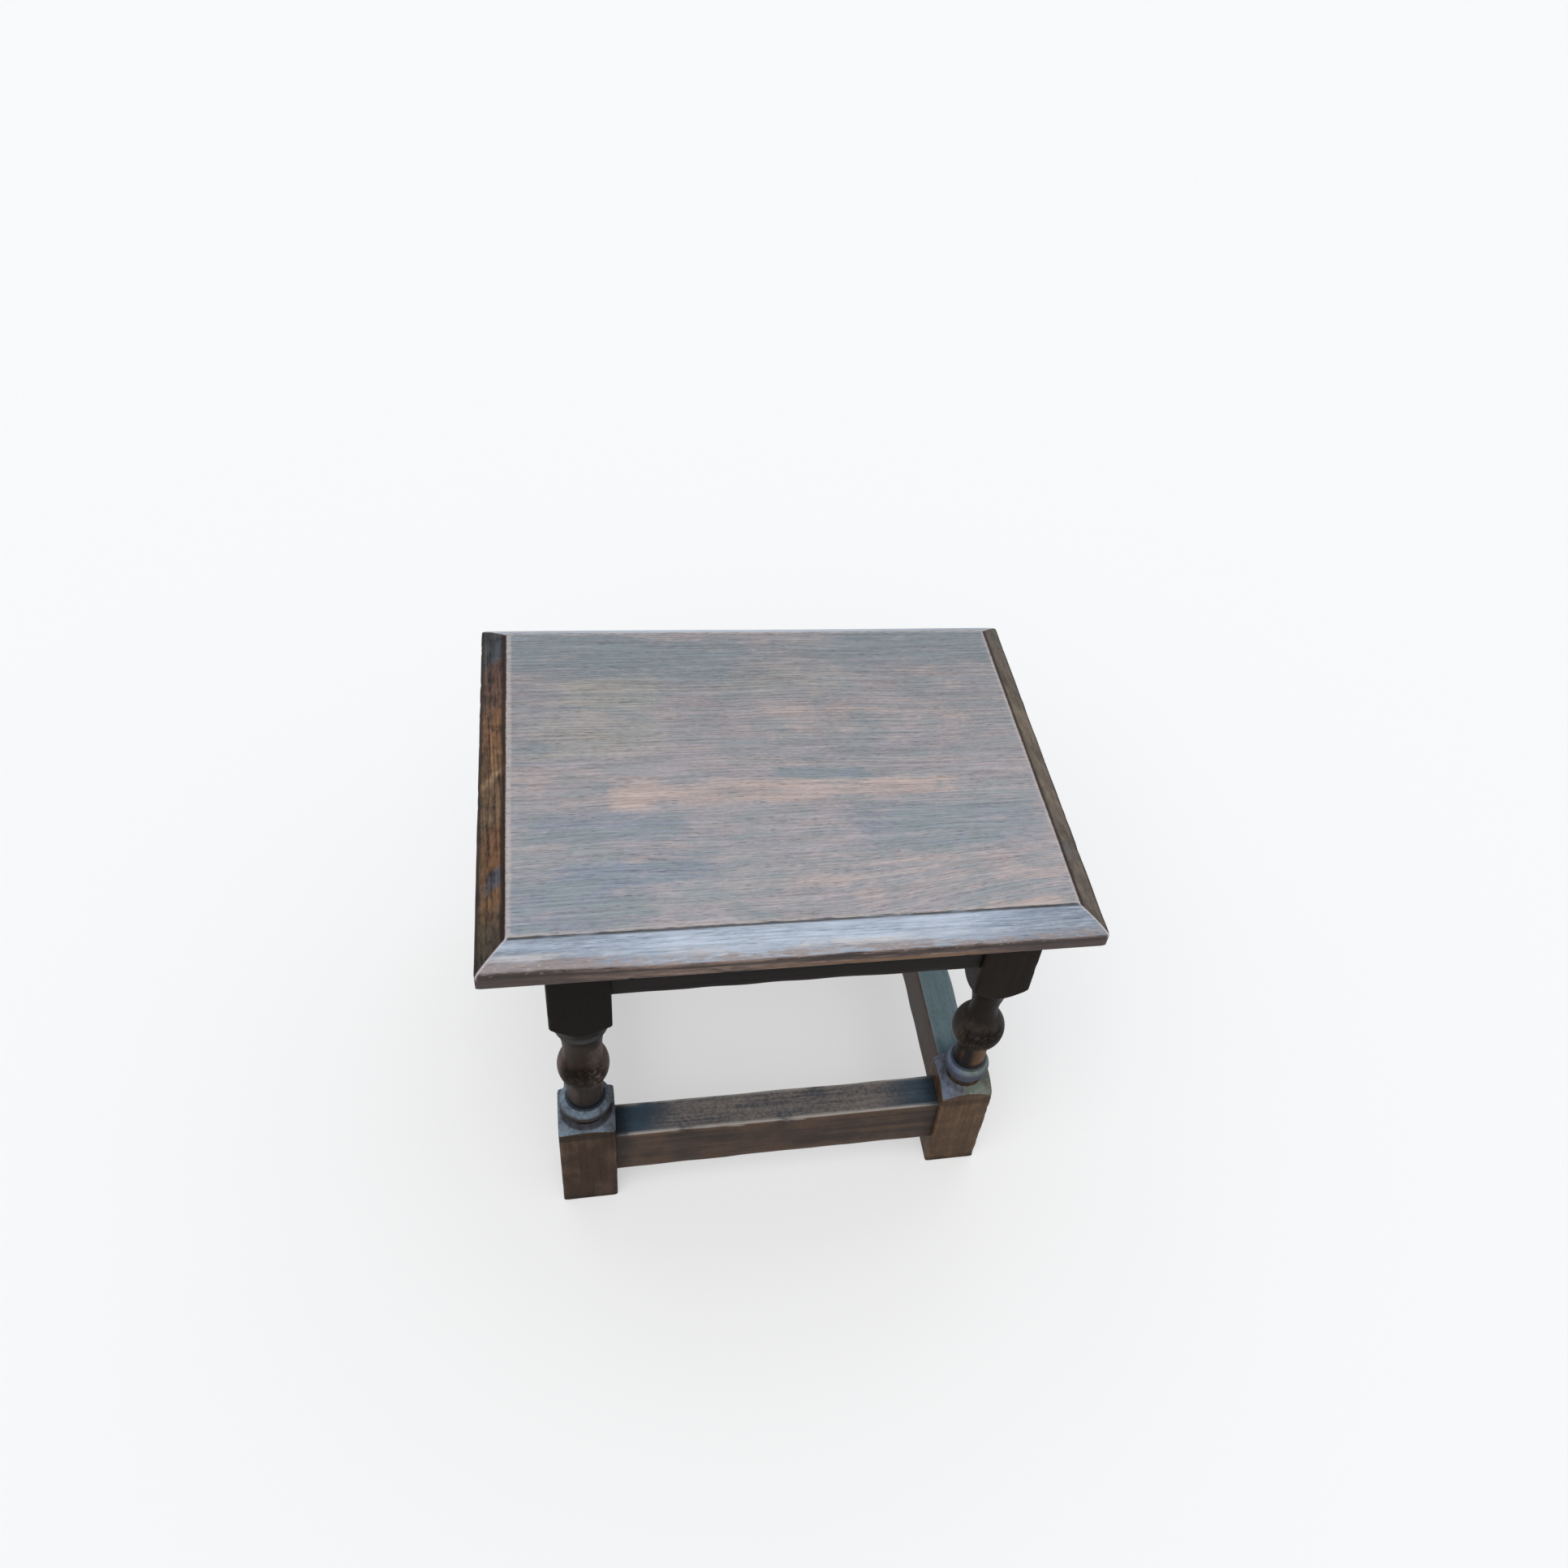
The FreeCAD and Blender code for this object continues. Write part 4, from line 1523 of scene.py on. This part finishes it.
@dataclass
class Rail:
    """Apron or stretcher between two legs: a rounded section carried straight along."""

    node: str
    name: str
    seed: int
    material: bpy.types.Material
    grain: Grain
    rounds: Pair
    end: float
    bury: float = 0.4
    step: float = 2.0
    end_step: float = 0.5
    end_zone: float = 2.0
    end_rings: int = 5
    corner_points: int = 6
    waves: Ripple = Ripple((90.0, 90.0, 60.0), 0.08)
    rub: Ripple = Ripple((34.0, 34.0, 34.0), 0.3)
    rub_reach: Pair = (0.9, 3.4)
    middle_rub: float = 1.3
    unworn_share: float = 0.02
    upward: Pair = (0.35, 0.8)

    def section(self, width: float, height: float) -> Array:
        """Rounded rectangle as one closed ring: four quarter turns and the sides between them.

        Args:
            width: across the rail.
            height: from base to top.

        Returns:
            Across and up of each point. The last is the first again.
        """
        turns = []
        for index, (side, up) in enumerate(((1, 0), (1, 1), (-1, 1), (-1, 0))):
            radius = self.rounds[up]
            centre = (side * (width / 2 - radius), radius + up * (height - 2 * radius))
            angles = np.radians(90 * (index - 1) + np.linspace(0, 90, self.corner_points))
            turns.append(turned(centre, radius, angles))
        ring = np.vstack([*turns, turns[0][:1]])
        reach = reach_of(ring)
        places = np.concatenate([reach, np.arange(0, reach[-1], self.step)])
        closed = picked(ring, np.unique(np.round(places, 3)))
        closed[-1] = closed[0]
        return closed

    def build(self) -> bpy.types.Object:
        """Builds and wears the rail, and marks where it faces up and where it is rubbed.

        The section is carried straight along, and each end is the ring drawn in to its middle.

        Returns:
            The finished piece.
        """
        low, high = (np.array(corner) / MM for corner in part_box(self.node))
        across = self.grain.value[1]
        width, height = high[across] - low[across], high[2] - low[2]
        middle = np.array([(high[across] + low[across]) / 2, low[2] + height / 2])
        ring = self.section(width, height) - (0.0, height / 2)
        end = self.end + self.bury
        places = spaced(2 * end, self.step, self.end_step, self.end_zone)[:, None]
        stations = -end + 2 * end * places
        shares = np.linspace(1, 0, self.end_rings)[:, None]
        skin = Skin(self.name)
        for place, share in ((stations, 1.0), (-end, shares), (end, shares)):
            flat = (centre + part * share for centre, part in zip(middle, ring.T))
            values = (place, *flat)
            skin.add(grid_of(*(values[axis] for axis in self.grain.value)))
        piece = skin.make([self.material])
        points = points_of(piece)
        side = width / 2 - abs(points[:, across] - middle[0])
        level = height / 2 - abs(points[:, 2] - middle[1])
        worn = 1 - ramp(np.hypot(side, level), *self.rub_reach)
        sink(piece, self.wear(points, worn))
        mark(piece, "upward", ramp(normals_of(piece)[:, 2], *self.upward))
        mark(piece, "worn", worn)
        return piece

    def wear(self, points: Array, worn: Array) -> Array:
        """Depth of wear: slow waves, and arrises rubbed most in the middle.

        Args:
            points: the rail's points.
            worn: 1 on its arrises.

        Returns:
            Millimetres for each point.
        """
        place = abs(points[:, self.grain.value[0]]) / (self.end + self.bury)
        rub = worn * self.rub.at(points, self.seed + 3) * (self.middle_rub - place)
        return (self.waves.at(points, self.seed) + rub) * ramp(1 - place, 0, self.unworn_share)


# The whole stool


@dataclass
class Stool:
    """All sub-assemblies of the stool, in the order that they are built."""

    leg_x: float = 134.0
    leg_y: float = 126.0
    by_hand: dict[str, dict[str, float | Pair]] = field(default_factory=lambda: {
        "front_left": {
            "lower_corner": 88.0, "stem_base": 91.5, "shoulder_bulge": 0.1, "ring": 35.0,
            "ring_low": 97.0, "ring_top": 27.0, "neck_base": 23.4, "neck_waist": 24.4,
            "ball": 33.6, "ball_height": 146.5, "ball_stretch": 1.25, "ball_foot": 25.8,
            "ball_crown": 26.0, "upper_neck": (25.4, 171.5), "bead": 1.2, "collar": 34.4,
            "collar_low": 190.5, "collar_high": 196.5, "upper_corner": 211.5,
            "flare_shares": (0.3, 0.5),
        },
        "front_right": {
            "lower_corner": 84.8, "stem_base": 93.5, "shoulder_bulge": 2.0, "ring": 32.0,
            "ring_low": 99.5, "ring_high": 112.5, "ring_top": 26.6, "neck_base": 22.8,
            "neck_waist": 22.4, "ball": 37.0, "ball_height": 151.8, "ball_foot": 22.4,
            "ball_crown": 22.0, "upper_neck": (19.8, 178.0), "bead": 0.0, "collar": 22.6,
            "collar_low": 189.0, "collar_high": 189.2, "upper_corner": 215.6,
            "flare_shares": (0.29, 0.52),
        },
    })
    left_tones: tuple[tuple[float, str], ...] = (
        (0, "#38342f"), (30, "#53463a"), (52, "#76573c"), (62, "#5d4b43"), (76, "#76553b"),
        (104, "#6f4f3a"), (114, "#77604b"), (146, "#735a44"), (152, "#9d8063"), (158, "#7d5f44"),
        (206, "#835f45"), (224, "#664b3f"), (258, "#5a423a"), (268, "#484c50"), (306, "#3f4245"),
    )
    right_tones: tuple[tuple[float, str], ...] = (
        (0, "#544c46"), (20, "#74685d"), (100, "#6d6155"), (112, "#75685a"), (210, "#786a5a"),
        (225, "#6d6052"), (306, "#5f574e"),
    )

    def boards(self) -> None:
        """Builds the three boards of the top."""
        left = EndFinish(3.0, self.left_tones).make("left_end_grain")
        right = EndFinish(8.0, self.right_tones, contrast=0.55).make("right_end_grain")
        bevel = BevelFinish(2.0).make("bevel_oak")
        open_edge, joint = Edge.MOULDED, Edge.JOINED
        front, first = (corner.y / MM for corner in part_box("top_board_front"))
        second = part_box("top_board_rear")[0].y / MM
        for word, edges, places, seed, figure, sweep in (
            ("front", (open_edge, joint), (front, first), 31, 1.0, 26.0),
            ("middle", (joint, joint), (first, second), 37, 4.0, 0.0),
            ("rear", (joint, open_edge), (second, -front), 41, 6.0, 0.0),
        ):
            flat = FieldFinish(figure, sweep=sweep).make("field_oak_" + word)
            under = PlainOak(figure + 20.0).make("underside_oak_" + word)
            materials = [flat, bevel, left, right, under]
            node = "top_board_" + word
            board = SeatBoard(node, "seat_" + word, seed, materials, edges, places)
            settle(board.build(), node)

    def legs(self) -> None:
        """Builds the four legs."""
        front_left = LegFinish(
            1.0, (-self.leg_x, -self.leg_y), painted_rim_share=0.6, painted_sheen="#8092a4",
            far_painted_sheen="#8497a9", collar_sheen_and_shadow=0.3, right_shade=0.5, block_top=88.0, block_top_shade=0.5,
        )
        front_right = LegFinish(
            5.0, (self.leg_x, -self.leg_y), above="#19130f", turned="#302a27", neck="#664c35",
            neck_painted_shade="#211c1e", below="#503e30", rubbed="#64503d", painted_rim_sheen="#3c3a38",
            painted_rim_share=0.6, painted_sheen="#7a867f", far_painted_sheen="#75839a", painted_sheen_from=0.14,
            ring_side_shade="#464a58", ball=151.0, ring_top=113.5, ball_bare=0.8, shoulder_shade=0.15,
        )
        for word, seed, finish in (
            ("front_left", 51, front_left),
            ("front_right", 67, front_right),
            ("rear_left", 83, LegFinish(9.0, (-self.leg_x, self.leg_y))),
            ("rear_right", 99, LegFinish(12.0, (self.leg_x, self.leg_y))),
        ):
            node, name, sizes = "leg_" + word, "turned_" + word, self.by_hand.get(word, {})
            leg = TurnedLeg(node, name, finish.centre, seed, finish.make("oak_" + word), **sizes)
            settle(leg.build(), node)

    def rails(self) -> None:
        """Builds the aprons and the stretchers."""
        long, short = (place - TurnedLeg.side / 2 for place in (self.leg_x, self.leg_y))
        # Each row gives a stretcher's face colour and the painted sheen of its upper face.
        for seed, (word, grain, end, face, painted_sheen, tread, rub) in enumerate((
            ("front", Grain.X, long, "#4b3a30", "#515358", 1.0, 0.85),
            ("rear", Grain.X, long, "#43362f", "#56606a", 0.7, 0.6),
            ("left", Grain.Y, short, "#46352d", "#627582", 0.3, 0.35),
            ("right", Grain.Y, short, "#4a352b", "#6f868c", 0.1, 0.25),
        ), start=1):
            # The aprons' near-black faces are painted shade under the top.
            apron = RailFinish(
                seed * 3.0, grain, end, face="#161210", shade="#0f0c0b", arris_wear=0.15
            )
            stretcher = RailFinish(
                seed * 3.0 + 1.0, grain, end, face=face, painted_sheen=painted_sheen, middle_wear=tread,
                arris_wear=rub,
            )
            for kind, finish, rounds in (
                ("apron_", apron, (1.5, 0.3)), ("stretcher_", stretcher, (1.5, 1.5))
            ):
                node = kind + word
                material = finish.make("oak_" + node)
                rail = Rail(node, "worn_" + node, 100 + seed * 7, material, grain, rounds, end)
                settle(rail.build(), node)

    def fixings(self) -> None:
        """Gives the glue blocks and the screws, which keep their CAD shapes, their materials."""
        lengthwise = PlainOak(31.0).make("block_oak_x")
        crosswise = PlainOak(33.0, Grain.Y).make("block_oak_y")
        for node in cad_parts:
            if node.startswith("glue_block"):
                at_side = node in ("glue_block_left", "glue_block_right")
                self.coat(node, crosswise if at_side else lengthwise)
        self.coat("top_screws", ScrewSteel().make("screw_steel"))

    @staticmethod
    def coat(node: str, material: bpy.types.Material) -> None:
        """Gives every slot of a CAD node one material.

        Args:
            node: the node's name.
            material: its new material.
        """
        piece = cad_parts[node]
        for slot in piece.material_slots:
            slot.material = material
        LOG.info("%s: dressed with %s", piece.name, material.name)


@dataclass
class Studio:
    """Pale floor, soft lamps and the camera."""

    backdrop: str = "#fafafa"
    floor_colour: str = "#f5f5f5"
    floor_glow: float = 0.45
    sky: str = "#f4f7fb"
    sky_strength: float = 0.63
    floor_half: float = 9000.0
    floor_drop: float = 0.1
    eye: Point = (-125.35, -627.84, 901.03)
    heading: float = 20.932
    tilt: float = 43.846
    roll: float = 12.639
    lens: float = 30.494
    sensor: float = 36.0
    shift: Pair = (-0.0907, 0.0395)
    clip: Pair = (0.01, 60.0)
    lamps: tuple[tuple[str, float, float, float, float, str], ...] = (
        ("front_lamp", 1.25, 60.0, -22.0, 55.0, "#fffdf9"),
        ("rear_lamp", 0.55, 70.0, 165.0, 55.0, "#f1f6ff"),
    )

    @staticmethod
    def hang(name: str, data: bpy.types.ID) -> bpy.types.Object:
        """Puts a mesh, a lamp or a camera into the scene.

        Args:
            name: the name of its object.
            data: the mesh, lamp or camera.

        Returns:
            The object.
        """
        made = bpy.data.objects.new(name, data)
        bpy.context.scene.collection.objects.link(made)
        return made

    def floor(self) -> None:
        """Lays the floor, which keeps the stool's shadow."""
        half, level = self.floor_half * MM, -self.floor_drop * MM
        mesh = bpy.data.meshes.new("floor")
        corners = [(x * half, y * half, level) for x, y in ((-1, -1), (1, -1), (1, 1), (-1, 1))]
        mesh.from_pydata(corners, [], [(0, 1, 2, 3)])
        graph = Graph("floor_paint")
        paper = graph.node("ShaderNodeBsdfDiffuse", {"Color": self.floor_colour})
        glow = graph.node("ShaderNodeEmission", {"Color": self.backdrop})
        share = graph.seen() * self.floor_glow
        shader = graph.node("ShaderNodeMixShader", {0: share, 1: paper, 2: glow})
        graph.node("ShaderNodeOutputMaterial", {"Surface": shader})
        mesh.materials.append(graph.owner)
        floor = self.hang("floor", mesh)

    def world(self) -> None:
        """Sets a soft even sky, which camera, glossy and clear rays see as the backdrop."""
        bpy.context.scene.world = bpy.data.worlds.new("studio")
        graph = Graph(bpy.context.scene.world)
        lamp, backdrop = (
            graph.node("ShaderNodeBackground", {"Color": colour, "Strength": strength})
            for colour, strength in ((self.sky, self.sky_strength), (self.backdrop, 1.0))
        )
        mixed = graph.node("ShaderNodeMixShader", {0: graph.seen(), 1: lamp, 2: backdrop})
        graph.node("ShaderNodeOutputWorld", {"Surface": mixed})

    def light(self) -> None:
        """Hangs the lamps: name, strength, width in degrees, azimuth, elevation and colour."""
        for name, strength, width, azimuth, elevation, colour in self.lamps:
            lamp = bpy.data.lights.new(name, "SUN")
            lamp.energy = strength
            lamp.angle = math.radians(width)
            lamp.color = paint(colour)
            turn = (math.radians(90 - elevation), 0, math.radians(azimuth))
            self.hang(name, lamp).rotation_euler = turn

    def camera(self) -> None:
        """Stands the camera where the photograph was taken from."""
        data = bpy.data.cameras.new("camera")
        data.lens, data.sensor_width = self.lens, self.sensor
        data.shift_x, data.shift_y = self.shift
        data.clip_start, data.clip_end = self.clip
        stand = Matrix.Translation([c * MM for c in self.eye])
        for angle, axis in ((-self.heading, "Z"), (self.tilt, "X"), (self.roll, "Z")):
            stand = stand @ Matrix.Rotation(math.radians(angle), 4, axis)
        camera = self.hang("camera", data)
        camera.matrix_world = stand
        bpy.context.scene.camera = camera

    def set_up(self) -> None:
        """Builds the whole set."""
        bpy.context.scene.view_settings.view_transform = "Standard"
        self.floor()
        self.world()
        self.light()
        self.camera()


def main() -> None:
    """Builds the stool and its set."""
    logging.basicConfig(level=logging.INFO, format="%(name)s %(message)s")
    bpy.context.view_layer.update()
    stool = Stool()
    stool.boards()
    stool.legs()
    stool.rails()
    stool.fixings()
    Studio().set_up()


if __name__ == "__main__":
    main()
